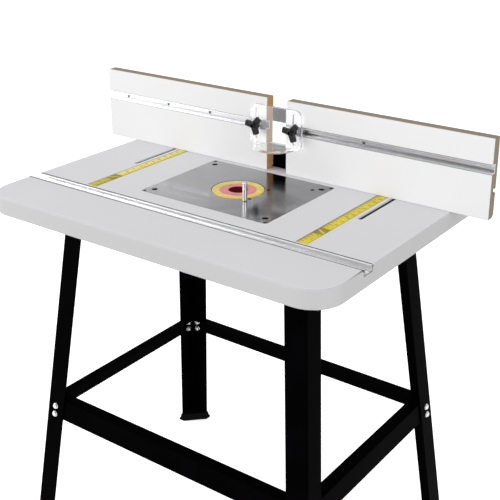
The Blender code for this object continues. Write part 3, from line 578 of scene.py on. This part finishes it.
def make_top():
    outline = rounded_rectangle(top_low.xy, top_high.xy, TOP_CORNER, 28)
    above = TOP_Z + 0.010
    below = top_low.z - 0.010
    gap = Vector((0.0004, 0.0004))
    seat = rounded_rectangle(plate_low.xy - gap, plate_high.xy + gap, 0.0062, 8)
    opening = rounded_rectangle((-0.135, -0.1035), (0.135, 0.1035), 0.040, 12)
    track_low, track_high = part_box("miter_track")
    track_front, track_back = track_low.y - CLEARANCE, track_high.y + CLEARANCE
    seam_front, seam_back = track_low.y - 0.0020, track_high.y + 0.0024
    past_end, seam_depth, pocket_depth = 0.5, 0.0040, 0.012
    cutters = [
        prism(seat, plate_low.z - CLEARANCE, above),
        prism(opening, below, above),
        cube((-past_end, track_front, track_low.z - CLEARANCE), (past_end, track_back, above)),
        cube((-past_end, seam_front, TOP_Z - seam_depth), (past_end, seam_back, above)),
    ]
    for side, sign in SIDES.items():
        x = sign * CLAMP_X
        cutters.append(prism(slot_outline(x, 0.0, 0.0049), below, above))
        cutters.append(prism(slot_outline(x, -0.006, 0.0108), below, TOP_Z - pocket_depth))
        low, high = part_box(f"scale_tape_{side}")
        corner = (low.x - CLEARANCE, low.y - CLEARANCE, low.z - CLEARANCE)
        cutters.append(cube(corner, (high.x + CLEARANCE, high.y + CLEARANCE, above)))
    form = carve(prism(outline, top_low.z, top_high.z), cutters, eased=0.0035, segments=4)
    piece("router_table_top", form, top_face, "table", "table_top", angle=40)


def make_slot_lips():
    """White lips that line the top few millimetres of both fence slots."""
    for side, sign in SIDES.items():
        outer = slot_outline(sign * CLAMP_X, 0.00005, 0.0048)
        inner = slot_outline(sign * CLAMP_X, 0.0005, 0.0044)
        form = sheet([outer, inner], TOP_Z - 0.0032, TOP_Z - 0.0001)
        piece(f"fence_slot_lip_{side}", form, "board", "table")


def make_miter_track():
    low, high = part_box("miter_track")
    y = (low.y + high.y) / 2
    half = (high.y - low.y) / 2
    floor = low.z + 0.0025
    step = floor + 0.003
    profile = [
        (half, low.z), (half, high.z), (0.0102, high.z), (0.0096, high.z - 0.0006), (0.0096, step),
        (0.01175, step), (0.01175, floor), (0.0030, floor), (0.0026, floor - 0.0004),
    ]
    form = bar([(y + across, z) for across, z in mirrored(profile)], low.x, high.x)

    def finish(face):
        # Sawn ends take the dark grey as painted shade.
        if abs(face.normal.x) > 0.9:
            return "painted_shade_grey"
        # The track's outer side walls, seen in the seams beside it, are near-black as painted shade.
        side_wall = abs(abs(face.calc_center_median().y - y) - half) < 0.0001 and abs(face.normal.y) > 0.9
        return "painted_shade_black" if side_wall else "track"

    piece("miter_track_extrusion", form, finish, "table", "miter_track", 0.00025)
    places = [(x, y, floor + 0.0002) for x in (-0.35, -0.175, 0.0, 0.175, 0.35)]
    screws = [countersunk(0.0034, 0.0005, place) for place in places]
    piece("miter_track_screws", merged(*screws), "zinc", "table", edge=0.0001)


def countersunk(radius, height, place, direction=(0, 0, 1)):
    """A flush screw head: a turned disc with a hollow middle and a six-sided socket floor."""
    inner = radius * 0.48
    profile = [
        (radius, 0.0), (radius * 0.92, height * 0.55), (inner * 1.12, height),
        (inner, height * 0.8), (inner, -0.0012), (inner * 0.5, -0.0016), (inner * 0.5, -0.0022),
        (radius, -0.0022),
    ]
    socket_floor = rod(inner * 1.02, -0.0020, -0.0012, 6)
    return moved(merged(lathe(profile, 36), socket_floor), along(place, direction))


# Insert plate


def plate_face(face):
    """Tapped holes and the ring seat are dark inside, in the black-oxide colour as painted shade; the rest is
    ground steel.
    """
    if face.normal.z < -0.5:
        return "plate"
    centre = face.calc_center_median()
    rim = 0.0014
    inside = abs(centre.x) < plate_high.x - rim and abs(centre.y) < plate_high.y - rim
    # Faces inside the plate below its surface take the black-oxide colour as painted shade.
    return "screw" if inside and centre.z < plate_high.z - 0.0002 else "plate"


def make_insert_plate():
    ring_low, ring_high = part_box("insert_ring_outer")
    seat_radius = (ring_high.x - ring_low.x) / 2 + 0.0011
    surface = plate_high.z
    outline = rounded_rectangle(plate_low.xy, plate_high.xy, 0.0058, 10)
    holes = [circle((0, 0), 0.0458, 96), circle(middle("starting_pin").xy, 0.0035, 32)]
    spare_holes = ((0.050, -0.031, 0.0040), (0.050, 0.031, 0.0034), (0.119, 0.082, 0.0040))
    holes += [circle((x, y), radius, 28) for x, y, radius in spare_holes]
    levellers = [(sx * 0.1432, sy * 0.1115) for sx in (-1, 1) for sy in (-1, 1)]
    holes += [circle(place, 0.0034, 28) for place in levellers]
    screws = {corner: middle(f"plate_screw_{corner}") for corner in CORNERS}
    holes += [circle(screw.xy, 0.0030, 28) for screw in screws.values()]
    form = sheet([outline] + holes, plate_low.z, plate_high.z)
    cutters = [shifted(rod(seat_radius, -0.0033, 0.01, 96), 0, 0, surface)]
    sink = [(0, 0.002), (0.0060, 0.002), (0.0060, -0.0004), (0.0030, -0.0034), (0, -0.0034)]
    cutters += [shifted(lathe(sink, 36), screw.x, screw.y, surface) for screw in screws.values()]
    form = carve(form, cutters)
    piece("insert_plate_brushed", form, plate_face, "table", "insert_plate", 0.0003, 2, 45)
    grub = [
        (0, -0.0022), (0.0011, -0.0022), (0.0012, -0.0009), (0.0028, -0.0006), (0.0032, -0.0012),
        (0.0032, -0.006), (0, -0.006),
    ]
    grubs = [shifted(lathe(grub, 24), x, y, surface) for x, y in levellers]
    piece("plate_levelling_screws", merged(*grubs), "screw", "table")
    head = [
        (0, -0.0020), (0.0017, -0.0020), (0.0021, -0.0002), (0.0044, -0.0002), (0.0046, -0.0006),
        (0.0026, -0.0027), (0.0026, -0.019), (0, -0.020),
    ]
    for corner, screw in screws.items():
        form = shifted(lathe(head, 36), screw.x, screw.y, surface)
        name, node = f"plate_screw_socket_{corner}", f"plate_screw_{corner}"
        piece(name, form, "screw", "table", node, 0.0001)


def make_rings():
    """Both reducing rings: rounded rims, a fine groove round each face and a deep collar inside."""
    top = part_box("insert_ring_outer")[1].z
    for name, bore, spigot, below in (
        ("outer", 0.0358, 0.0452, [(0.0358, -0.0033), (0.0318, -0.0033), (0.0318, -0.0062)]),
        ("inner", 0.0190, 0.0315, [(0.0190, -0.0146), (0.0215, -0.0146), (0.0215, -0.0062)]),
    ):
        low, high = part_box(f"insert_ring_{name}")
        outer = (high.x - low.x) / 2
        groove = (outer + bore) / 2 + 0.001
        profile = [
            (outer, -0.0030), (outer, -0.0009), (outer - 0.0003, -0.0003), (outer - 0.0009, 0.0),
            (groove + 0.0006, 0.0), (groove + 0.0003, -0.0003), (groove - 0.0003, -0.0003),
            (groove - 0.0006, 0.0), (bore + 0.0009, 0.0), (bore + 0.0003, -0.0003), (bore, -0.0009),
            *below,
            (spigot, -0.0062), (spigot, -0.0030),
        ]
        form = shifted(lathe(profile, 128), 0, 0, top)
        holes = []
        for angle in (math.radians(20), math.radians(200)):
            x = (groove + 0.0035) * math.cos(angle)
            y = (groove + 0.0035) * math.sin(angle)
            holes.append(shifted(rod(0.0012, -0.0016, 0.002, 20), x, y, high.z))
        form = carve(form, holes)

        def finish(face, high=high):
            centre = face.calc_center_median()
            # The bore wall takes the darker red as painted shade.
            return "painted_shade_red" if centre.xy.length < 0.0195 and centre.z < high.z - 0.0008 else "red"

        look, slot = ("yellow", "yellow_plastic") if name == "outer" else (finish, "red_plastic")
        piece(f"reducing_ring_{name}", form, look, "table", f"insert_ring_{name}")


def make_starting_pin():
    low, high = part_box("starting_pin")
    at = (low + high) / 2
    tall = high.z - plate_high.z
    radius = (high.x - low.x) / 2
    profile = [
        (0, tall), (radius * 0.62, tall), (radius * 0.92, tall - 0.0007), (radius, tall - 0.0018),
        (radius, 0.0050), (radius * 0.86, 0.0046), (radius * 0.86, 0.0034), (radius, 0.0030),
        (radius, 0.0008), (radius * 0.9, 0.0004), (0.0030, 0.0004), (0.0030, -0.0115), (0, -0.0120),
    ]
    form = shifted(lathe(profile, 64), at.x, at.y, plate_high.z)
    # Its dark streaks are painted reflections.
    piece("starting_pin_rod", form, "chrome", "table", "starting_pin", angle=50)


def make_scale_tapes():
    """Yellow tapes with an even number every 20 mm, except where the printed block is."""
    spacing = 0.020
    for side, sign in SIDES.items():
        low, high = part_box(f"scale_tape_{side}")
        edge_x = low.x if side == "right" else high.x
        sunned = 0.8 if side == "left" else 0.0
        scale = f"scale_{side}"
        MAT[scale] = printed_scale(f"printed_{scale}", low.y, edge_x, sign, high.x - low.x, sunned)
        form = prism(rounded_rectangle(low.xy, high.xy, 0.0008, 4), low.z, high.z)
        name, node = f"scale_tape_printed_{side}", f"scale_tape_{side}"
        piece(name, form, scale, "table", node, 0.0001)
        digits = []
        for number in (1, 2, *range(5, 15)):
            place = (edge_x + sign * 0.0158, low.y + spacing * number + 0.0045, high.z + 0.00002)
            digits.append(digit_form(str(number * 2), place, 0.0078))
        piece(f"scale_numbers_{side}", merged(*digits), "ink", "table")


def digit_form(text, place, size):
    curve = bpy.data.curves.new("digits", "FONT")
    curve.body = text
    curve.size = size
    curve.align_x = "CENTER"
    curve.align_y = "CENTER"
    curve.extrude = 0.00002
    curve.resolution_u = 3
    item = bpy.data.objects.new("digits", curve)
    bpy.context.collection.objects.link(item)
    return shifted(evaluated(item), *place)


# Stand


leg_low, leg_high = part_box("leg_back_right")
FLANGE = 0.046
LEG_TOP = Vector((leg_low.x + FLANGE, leg_low.y + FLANGE, leg_high.z))
LEG_FOOT = Vector((leg_high.x, leg_high.y, leg_low.z))
STAND_Y = (leg_high.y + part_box("leg_front_right")[0].y) / 2
FALL = LEG_TOP.z - LEG_FOOT.z
SLOPE = Vector(((LEG_FOOT.x - LEG_TOP.x) / FALL, (LEG_FOOT.y - LEG_TOP.y) / FALL))


def leg_corner(sx, sy, z):
    """The outer corner of the leg on side sx, sy, at height z."""
    drop = LEG_TOP.z - z
    out_x = LEG_TOP.x + SLOPE.x * drop
    out_y = LEG_TOP.y - STAND_Y + SLOPE.y * drop
    return Vector((sx * out_x, STAND_Y + sy * out_y, z))


def angle_section(flange, outer=0.0042, inner=0.0017):
    """A formed angle's section, with its bend rounded inside and out. u and v run along its flanges."""
    return (
        [(flange, 0.0), (flange, STEEL)]
        + arc((STEEL + inner, STEEL + inner), inner, 270, 180, 5)
        + [(STEEL, flange), (0.0, flange)]
        + arc((outer, outer), outer, 180, 270, 7)
    )


def make_legs():
    section = angle_section(FLANGE)
    for corner, (sx, sy) in CORNERS.items():
        low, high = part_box(f"leg_{corner}")
        rings = []
        for z in (low.z, high.z):
            at = leg_corner(sx, sy, z)
            rings.append([(at.x - sx * u, at.y - sy * v, z) for u, v in section])
        name, node = f"leg_angle_{corner}", f"leg_{corner}"
        piece(name, loft(rings), "black_steel", "table", node, 0.0005)


def make_feet():
    """Rubber boots that widen towards the floor: each level is a height and how far it stands out."""
    levels = (
        (0.0000, 0.0042), (0.0010, 0.0054), (0.0046, 0.0058), (0.0062, 0.0048), (0.0085, 0.0034),
        (0.0120, 0.0026), (0.0175, 0.0020), (0.0186, 0.0012),
    )
    for corner, (sx, sy) in CORNERS.items():
        rings = []
        for z, out in levels:
            at = leg_corner(sx, sy, z)
            wide, thick = FLANGE + out, STEEL + 0.0015 + out
            corners = [(-out, -out), (wide, -out), (wide, thick), (thick, wide), (-out, wide)]
            rings.append([(at.x - sx * u, at.y - sy * v, z) for u, v in corners])
        name, node = f"foot_boot_{corner}", f"foot_{corner}"
        piece(name, loft(rings), "rubber", "table", node, 0.0009, 3, 50)


def member(name, side, node, flange):
    """A cross member that leans with the legs. Its flange, if any, is bent inwards and mitred."""
    low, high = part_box(node)
    runs_x = side in ("front", "back")
    sign = 1 if side in ("back", "right") else -1
    slope = SLOPE.y if runs_x else SLOPE.x
    offset = STAND_Y if runs_x else 0.0
    span = high.x if runs_x else high.y - STAND_Y
    reach = abs((high.y if sign > 0 else low.y) - offset) if runs_x else abs(high.x if sign > 0 else low.x)
    top, bottom = high.z, low.z
    out_top = reach - slope * (top - bottom)

    def out(z):
        return out_top + slope * (top - z)

    bend, inner = 0.0036, 0.0014
    section = [(out(bottom) - STEEL, bottom), (out(bottom), bottom)]
    if flange:
        section += arc((out(top) - bend, top - bend), bend, 0, 90, 7)
        section += [(out(top) - flange, top), (out(top) - flange, top - STEEL)]
        section += arc((out(top) - STEEL - inner, top - STEEL - inner), inner, 90, 0, 4)
    else:
        section += [(out(top), top), (out(top) - STEEL, top)]

    def mitred(end):
        return [(end * (span - max(0.0, out(z) - STEEL - across)), across, z) for across, z in section]

    form = loft([mitred(-1), mitred(1)])
    bmesh.ops.triangulate(form, faces=[f for f in form.faces if len(f.verts) > 4])
    turn = {"back": 0, "left": 90, "front": 180, "right": 270}[side]
    moved(form, Matrix.Translation((0, STAND_Y, 0)) @ Matrix.Rotation(math.radians(turn), 4, "Z"))
    piece(name, form, "black_steel", "table", node, 0.0005)


def hex_prism(radius, low, high, turned=0):
    return prism(arc((0, 0), radius, turned, turned + 300, 5), low, high)


def bolt_form():
    """A flange bolt's head outside, and a washer, nut and thread inside. Local Z points out of the leg."""
    head = [
        (0, 0.0036), (0.0022, 0.0036), (0.0026, 0.0041), (0.0040, 0.0040), (0.0049, 0.0034),
        (0.0053, 0.0021), (0.0053, 0.0014), (0.0064, 0.0011), (0.0064, 0.0003), (0, 0.0003),
    ]
    nut_top = -0.0060
    washer = [(0.0031, nut_top), (0.0064, nut_top), (0.0064, nut_top - 0.0010), (0.0031, nut_top - 0.0010)]
    forms = [lathe(head, 32), lathe(washer, 32), hex_prism(0.0058, nut_top - 0.0052, nut_top - 0.0010, 15)]
    thread = [(0, -0.0130), (0.0024, -0.0130)]
    z = -0.0126
    while z < nut_top - 0.0052:
        thread += [(0.0029, z), (0.0025, z + 0.0004)]
        z += 0.0008
    thread += [(0.0029, nut_top), (0, nut_top)]
    forms.append(lathe(thread, 20))
    return merged(*forms)


def make_bolts():
    upper = middle("brace_bolt_back_right_back")
    for corner, (sx, sy) in CORNERS.items():
        end, side = corner.split("_")
        flanges = (
            (end, Vector((0, sy, SLOPE.y)).normalized(), Vector((-sx, 0, 0))),
            (side, Vector((sx, 0, SLOPE.x)).normalized(), Vector((0, -sy, 0))),
        )
        for flange, normal, run in flanges:
            node = f"brace_bolt_{corner}_{flange}"
            height = upper.z + 0.0007
            for level, drop in (("upper", 0.0), ("lower", 0.0185)):
                point = leg_corner(sx, sy, height - drop) + run * FLANGE / 2
                form = moved(bolt_form(), along(point, normal))
                stands_for = node if level == "upper" else ()
                name = f"brace_bolt_{level}_{corner}_{flange}"
                piece(name, form, "zinc", "table", stands_for, 0.00015)


def make_stand():
    make_legs()
    make_feet()
    for side in ("front", "back", "left", "right"):
        member(f"brace_angle_{side}", side, f"brace_{side}", 0.025)
        member(f"top_rail_formed_{side}", side, f"top_rail_{side}", 0.025 if side in ("front", "back") else 0)
    make_bolts()
    screws = []
    for side, sign in (("front", -1), ("back", 1)):
        low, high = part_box(f"top_rail_{side}")
        inner = low.y if side == "back" else high.y
        for x in (-0.20, -0.07, 0.07, 0.20):
            place = (x, inner + sign * 0.012, high.z - STEEL - 0.0001)
            screws.append(countersunk(0.0045, 0.0022, place, (0, 0, -1)))
    piece("top_rail_screws", merged(*screws), "zinc", "table", edge=0.0001)


# Fence


BOARD_CLAMPS = ("left_outer", "left_inner", "right_inner", "right_outer")
KNOB_THICK = 0.017
KNOB_TURN = 50  # Degrees to the first arm


def make_boards():
    """White faced boards with an eased outline, a track pocket in front and a T-groove behind."""
    groove_z = middle("board_bolt_right_inner").z
    for side in SIDES:
        low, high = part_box(f"fence_board_{side}")
        track_low, track_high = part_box(f"fence_track_{side}")
        front, back, z0, z1 = low.y, high.y, low.z, high.z
        eased, chamfer, rear_eased = 0.0006, 0.006, 0.0005
        tight, seam, seam_y = CLEARANCE, 0.0006, front + 0.0016
        groove = [(-0.0038, back), (-0.0038, back - 0.004), (-0.0067, back - 0.004), (-0.0067, back - 0.010)]
        section = [
            (front + eased, z0), (back - chamfer, z0), (back, z0 + chamfer),
            *[(y, groove_z + across) for across, y in mirrored(groove)],
            (back, z1 - rear_eased), (back - rear_eased, z1), (front + eased, z1),
            (front, z1 - eased), (front, track_high.z + seam), (seam_y, track_high.z + seam),
            (seam_y, track_high.z + tight), (track_high.y + tight, track_high.z + tight),
            (track_high.y + tight, track_low.z - tight), (seam_y, track_low.z - tight),
            (seam_y, track_low.z - seam), (front, track_low.z - seam), (front, z0 + eased),
        ]
        form = bar(section, low.x, high.x)

        def finish(face, front=front, back=back, z1=z1, seam_z=(track_low.z, track_high.z)):
            x, y, z = face.calc_center_median()
            # Seam walls beside the track take the dark grey as painted shade.
            if front + 0.0003 < y < front + 0.0017 and min(abs(z - level) for level in seam_z) < 0.0009:
                return "painted_shade_grey"
            if abs(face.normal.y) > 0.9 and min(abs(y - front), abs(y - back)) < 0.0004:
                return "board"
            outer_end = abs(x) > 0.40
            upper_edge = face.normal.z > 0.6 and z > z1 - 0.002
            return "mdf_top" if outer_end or upper_edge else "mdf"

        name, node, body = f"fence_board_faced_{side}", f"fence_board_{side}", f"fence_half_{side}"
        piece(name, form, finish, body, node, 0.0004, 2, 50)


def screw_face(face):
    """The screws nearest the gap are blackened; those towards the right-hand end are plain."""
    return "dull" if face.calc_center_median().x > 0.25 else "screw"


def make_tracks():
    """Both T-slot channels with their screws. The right one is a darker, glossier aluminium that mirrors its
    knob; its darker tone is painted shade.
    """
    screw_places = {"left": (-0.413, -0.295, -0.179), "right": (0.196, 0.313, 0.430)}
    metals = {"left": "bright", "right": "satin"}
    for side in SIDES:
        low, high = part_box(f"fence_track_{side}")
        z = (low.z + high.z) / 2
        half = (high.z - low.z) / 2
        front, lip, floor = low.y, low.y + 0.0022, high.y - 0.0017
        mouth, pocket = 0.0054, 0.0074
        profile = [
            (half, high.y), (half, front), (0.0082, front), (0.0078, front + 0.0004),
            (0.0074, front), (0.0060, front), (mouth, front + 0.0005), (mouth, lip), (pocket, lip),
            (pocket, floor),
        ]
        form = bar([(y, z + across) for across, y in mirrored(profile)], low.x, high.x)

        def finish(face, z=z, half=half, metal=metals[side]):
            centre_z = face.calc_center_median().z
            # Outer side walls, seen in the seams, take the dark grey as painted shade.
            side_wall = abs(abs(centre_z - z) - half) < 0.0001 and abs(face.normal.z) > 0.9
            return "painted_shade_grey" if side_wall else metal

        name, node, body = f"fence_track_extrusion_{side}", f"fence_track_{side}", f"fence_half_{side}"
        piece(name, form, finish, body, node, 0.00012)
        heads = [countersunk(0.0030, 0.0012, (x, floor, z), (0, -1, 0)) for x in screw_places[side]]
        piece(f"fence_track_screws_{side}", merged(*heads), screw_face, body, edge=0.0001)


def make_bracket():
    low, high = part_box("fence_bracket")
    face, back = low.y, low.y + BRACKET_STEEL
    bend, inner = 0.0045, 0.0016
    section = (
        [(high.y, low.z), (high.y, low.z + BRACKET_STEEL)]
        + arc((back + inner, low.z + BRACKET_STEEL + inner), inner, 270, 180, 4)
        + [(back, high.z), (face, high.z)]
        + arc((face + bend, low.z + bend), bend, 180, 270, 6)
    )
    form = bar(section, low.x, high.x)
    web = [
        (back - 0.001, low.z + 0.001), (back + 0.046, low.z + 0.001),
        (back + 0.046, low.z + 0.0095), (back + 0.008, low.z + 0.1015),
        (back - 0.001, low.z + 0.1015),
    ]
    webs = [bar(web, x - 0.0015, x + 0.0015) for x in (-0.205, -0.075, 0.075, 0.205)]
    form = carve(form, webs, "UNION")
    cuts = [cube((-0.040, face - 0.01, TOP_Z + 0.050), (0.040, face + 0.013, TOP_Z + 0.100))]
    for sign in (-1, 1):
        cuts.append(shifted(rod(0.0046, -0.01, 0.02, 32), sign * CLAMP_X, CLAMP_Y, TOP_Z))
    for name in BOARD_CLAMPS:
        at = middle(f"board_bolt_{name}")
        cuts.append(moved(rod(0.0036, -0.012, 0.015, 28), along((at.x, face, at.z), (0, 1, 0))))
    form = carve(form, cuts)
    piece("fence_bracket_formed", form, "black_steel", "fence", "fence_bracket", 0.0005, 2, 40)


def knob_outline(reach, half, fillet):
    """Three arms with square ends and eased corners, blended where they meet."""
    points = []
    ease, taper = 0.0013, 0.95
    away = (half + fillet) / math.sin(math.radians(60))
    ends = arc((reach - ease, ease - half), ease, -90, 0, 3)
    ends += arc((reach - ease, half - ease), ease, 0, 90, 3)
    for arm in range(3):
        angle = KNOB_TURN + 120 * arm
        along_x, along_y = math.cos(math.radians(angle)), math.sin(math.radians(angle))
        for u, v in ends:
            v *= taper
            points.append((u * along_x - v * along_y, u * along_y + v * along_x))
        bisector = math.radians(angle + 60)
        hollow = (away * math.cos(bisector), away * math.sin(bisector))
        points += arc(hollow, fillet, angle + 270, angle + 210, 6)
    return points


def knob_form(reach):
    """A moulded knob on local +Z: hub behind, dished square arms and a boss with a recess in front."""
    scale = reach / 0.020
    half, fillet = 0.0062 * scale, 0.0022 * scale
    low, high = KNOB_THICK * 0.30, KNOB_THICK * 0.80
    levels = (
        (low, 0.0016), (low + 0.0004, 0.0008), (low + 0.0014, 0.0003), ((low + high) / 2, 0.0),
        (high - 0.0010, 0.0002), (high - 0.0003, 0.0005), (high, 0.0010), (high, 0.0017),
        (high - 0.0011, 0.0021),
    )
    rings = []
    for z, inset in levels:
        rings.append([(x, y, z) for x, y in knob_outline(reach - inset, half - inset, fillet + inset)])
    hub_radius = 0.0074
    hub = [
        (0, high - 0.0030), (0.0034, high - 0.0030), (0.0036, KNOB_THICK - 0.0004),
        (0.0040, KNOB_THICK), (0.0049, KNOB_THICK), (0.0055, KNOB_THICK - 0.0006),
        (0.0062, high - 0.002), (hub_radius, low + 0.001), (hub_radius, 0.0012),
        (hub_radius - 0.0006, 0.0), (0, 0.0),
    ]
    return merged(loft(rings), lathe(hub, 40))


def knob(node, start, direction, reach=0.020):
    """A clamping knob, which is a body of its own. Only the recess in its boss is a duller black."""
    centre, axis = Vector(start), Vector(direction)

    def finish(face):
        for vertex in face.verts:
            offset = vertex.co - centre
            out = offset.dot(axis)
            if out < KNOB_THICK * 0.5 or (offset - out * axis).length > 0.0038:
                return "black_plastic"
        return "screw"

    form = moved(knob_form(reach), along(start, direction))
    piece(f"{node}_moulded", form, finish, node, node, angle=55)


def washer_form(bore, radius, thick):
    rim = [(radius - 0.0003, thick), (radius, thick - 0.0002), (radius, 0.0)]
    return lathe([(bore, thick), *rim, (bore, 0.0)], 40)


def threaded_rod(radius, start, end):
    """A plain rod along Z with fine thread crests on its last 20 mm."""
    pitch, threaded = 0.0010, 0.020
    profile = [(0, end), (radius * 0.8, end)]
    z = end - 0.0004
    while z > max(start + 0.001, end - threaded):
        profile += [(radius, z), (radius * 0.88, z - pitch / 2)]
        z -= pitch
    profile += [(radius, z), (radius, start), (0, start)]
    return lathe(profile, 28)


def hex_bolt(radius, length):
    return merged(hex_prism(radius, 0.0, 0.0040), threaded_rod(0.0029, 0.0038, length))


def make_clamps():
    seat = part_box("fence_bracket")[0].z + BRACKET_STEEL + CLEARANCE
    half = 0.0070
    outline = rounded_rectangle((-half, -half), (half, half), 0.0012, 4)
    for side, sign in SIDES.items():
        node = f"fence_clamp_bolt_{side}"
        low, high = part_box(node)
        head = prism(outline, low.z, low.z + 0.0046)
        shank = threaded_rod(0.0039, low.z + 0.0044, high.z)
        form = shifted(merged(head, shank), sign * CLAMP_X, CLAMP_Y, 0)
        piece(f"{node}_square", form, "zinc", "fence", node, 0.0002)
        knob(f"fence_clamp_knob_{side}", (sign * CLAMP_X, CLAMP_Y, seat), (0, 0, 1), 0.024)


def make_board_clamps():
    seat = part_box("fence_bracket")[0].y + BRACKET_STEEL + CLEARANCE
    for name in BOARD_CLAMPS:
        node = f"board_bolt_{name}"
        low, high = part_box(node)
        at = (low + high) / 2
        form = moved(hex_bolt(0.0059, high.y - low.y), along((at.x, low.y, at.z), (0, 1, 0)))
        piece(f"{node}_hex", form, "zinc", "fence", node, 0.0002)
        knob(f"board_knob_{name}", (at.x, seat, at.z), (0, 1, 0))


# Guard


def make_guard():
    low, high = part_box("guard")
    back = high.y
    front = back - 0.005
    outline = rounded_rectangle((low.x, low.z), (high.x, high.z), 0.015, 14)
    holes = []
    for side in SIDES:
        x = middle(f"guard_bolt_{side}").x
        holes.append(rounded_rectangle((x - 0.0036, low.z + 0.012), (x + 0.0036, low.z + 0.077), 0.0035, 8))
    upright = Matrix(((1, 0, 0, 0), (0, 0, -1, 0), (0, 1, 0, 0), (0, 0, 0, 1)))
    panel = moved(sheet([outline] + holes, -back, -front), upright)
    reach = front - low.y + 0.001
    shelf = prism(arc((0, front + 0.001), reach, 180, 360, 48), low.z, low.z + 0.005)
    form = carve(panel, [shelf], "UNION")
    guard = piece("guard_polished", form, "acrylic", "guard", "guard", 0.0006, 3, 40)
    guard.visible_shadow = False
    forwards = (0, -1, 0)
    for side in SIDES:
        node = f"guard_bolt_{side}"
        bolt_low, bolt_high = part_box(node)
        at = (bolt_low + bolt_high) / 2
        bolt = moved(hex_bolt(0.0061, bolt_high.y - bolt_low.y), along((at.x, bolt_high.y, at.z), forwards))
        washer = moved(washer_form(0.0031, 0.0085, 0.0005), along((at.x, front - 0.00005, at.z), forwards))
        piece(f"{node}_hex", merged(bolt, washer), "zinc", "fence", node, 0.0001)
        knob(f"guard_knob_{side}", (at.x, front - 0.0006, at.z), forwards)


# Studio


def area_light(name, place, target, size, power):
    light = bpy.data.lights.new(name, "AREA")
    light.shape = "RECTANGLE"
    light.size, light.size_y = size
    light.energy = power
    item = bpy.data.objects.new(name, light)
    item.location = place
    item.rotation_mode = "QUATERNION"
    item.rotation_quaternion = (Vector(target) - Vector(place)).to_track_quat("-Z", "Y")
    bpy.context.collection.objects.link(item)


def make_studio():
    shader = Shader("studio_floor", (0.90, 0.90, 0.90), 0.9)
    soft = shader.spread(shader.noise(0.8, 2.0), 0.3, 0.7, 0.0, 1.0)
    shader.give("Base Color", shader.mix(soft, (0.88, 0.88, 0.88), (0.91, 0.91, 0.91)))
    shader.give("Emission Color", (1.0, 1.0, 1.0))
    shader.give("Emission Strength", 0.60)
    form = prism(circle((0, 0), 14.0, 64), -0.02, -0.0005)
    floor = as_object(form, "studio_floor")
    floor.data.materials.append(shader.material)
    floor.visible_diffuse = False
    floor.visible_shadow = False
    world = bpy.data.worlds.new("studio")
    bpy.context.scene.world = world
    world.use_nodes = True
    background = world.node_tree.nodes["Background"]
    background.inputs["Color"].default_value = (1.0, 1.0, 1.0, 1.0)
    background.inputs["Strength"].default_value = 0.60
    area_light("key", (-3.2, -2.3, 1.8), (0, 0, 0.8), (2.4, 2.4), 96.0)
    area_light("front", (2.2, -2.7, 1.5), (0, 0, 0.8), (1.6, 1.6), 36.0)
    area_light("side", (3.0, -0.9, 1.2), (0, 0, 0.7), (1.8, 1.8), 18.0)
    area_light("top", (-0.5, 0.2, 3.4), (0, 0, 0.8), (2.4, 2.0), 17.0)


def make_camera():
    """The camera as fitted to the photograph."""
    azimuth, elevation = math.radians(36.18), math.radians(20.41)
    data = bpy.data.cameras.new("camera")
    data.sensor_width = 36.0
    data.lens = 70.37
    data.shift_y = -0.10
    data.clip_start, data.clip_end = 0.05, 60.0
    camera = bpy.data.objects.new("camera", data)
    back = Vector((
        math.sin(azimuth) * math.cos(elevation),
        -math.cos(azimuth) * math.cos(elevation),
        math.sin(elevation),
    ))
    camera.location = (1.0776, -1.4342, 1.4251)
    camera.rotation_mode = "QUATERNION"
    camera.rotation_quaternion = (-back).to_track_quat("-Z", "Y")
    bpy.context.collection.objects.link(camera)
    bpy.context.scene.camera = camera
    bpy.context.scene.view_settings.view_transform = "Standard"


make_top()
make_slot_lips()
make_miter_track()
make_insert_plate()
make_rings()
make_starting_pin()
make_scale_tapes()
make_stand()
make_boards()
make_tracks()
make_bracket()
make_clamps()
make_board_clamps()
make_guard()
make_studio()
make_camera()
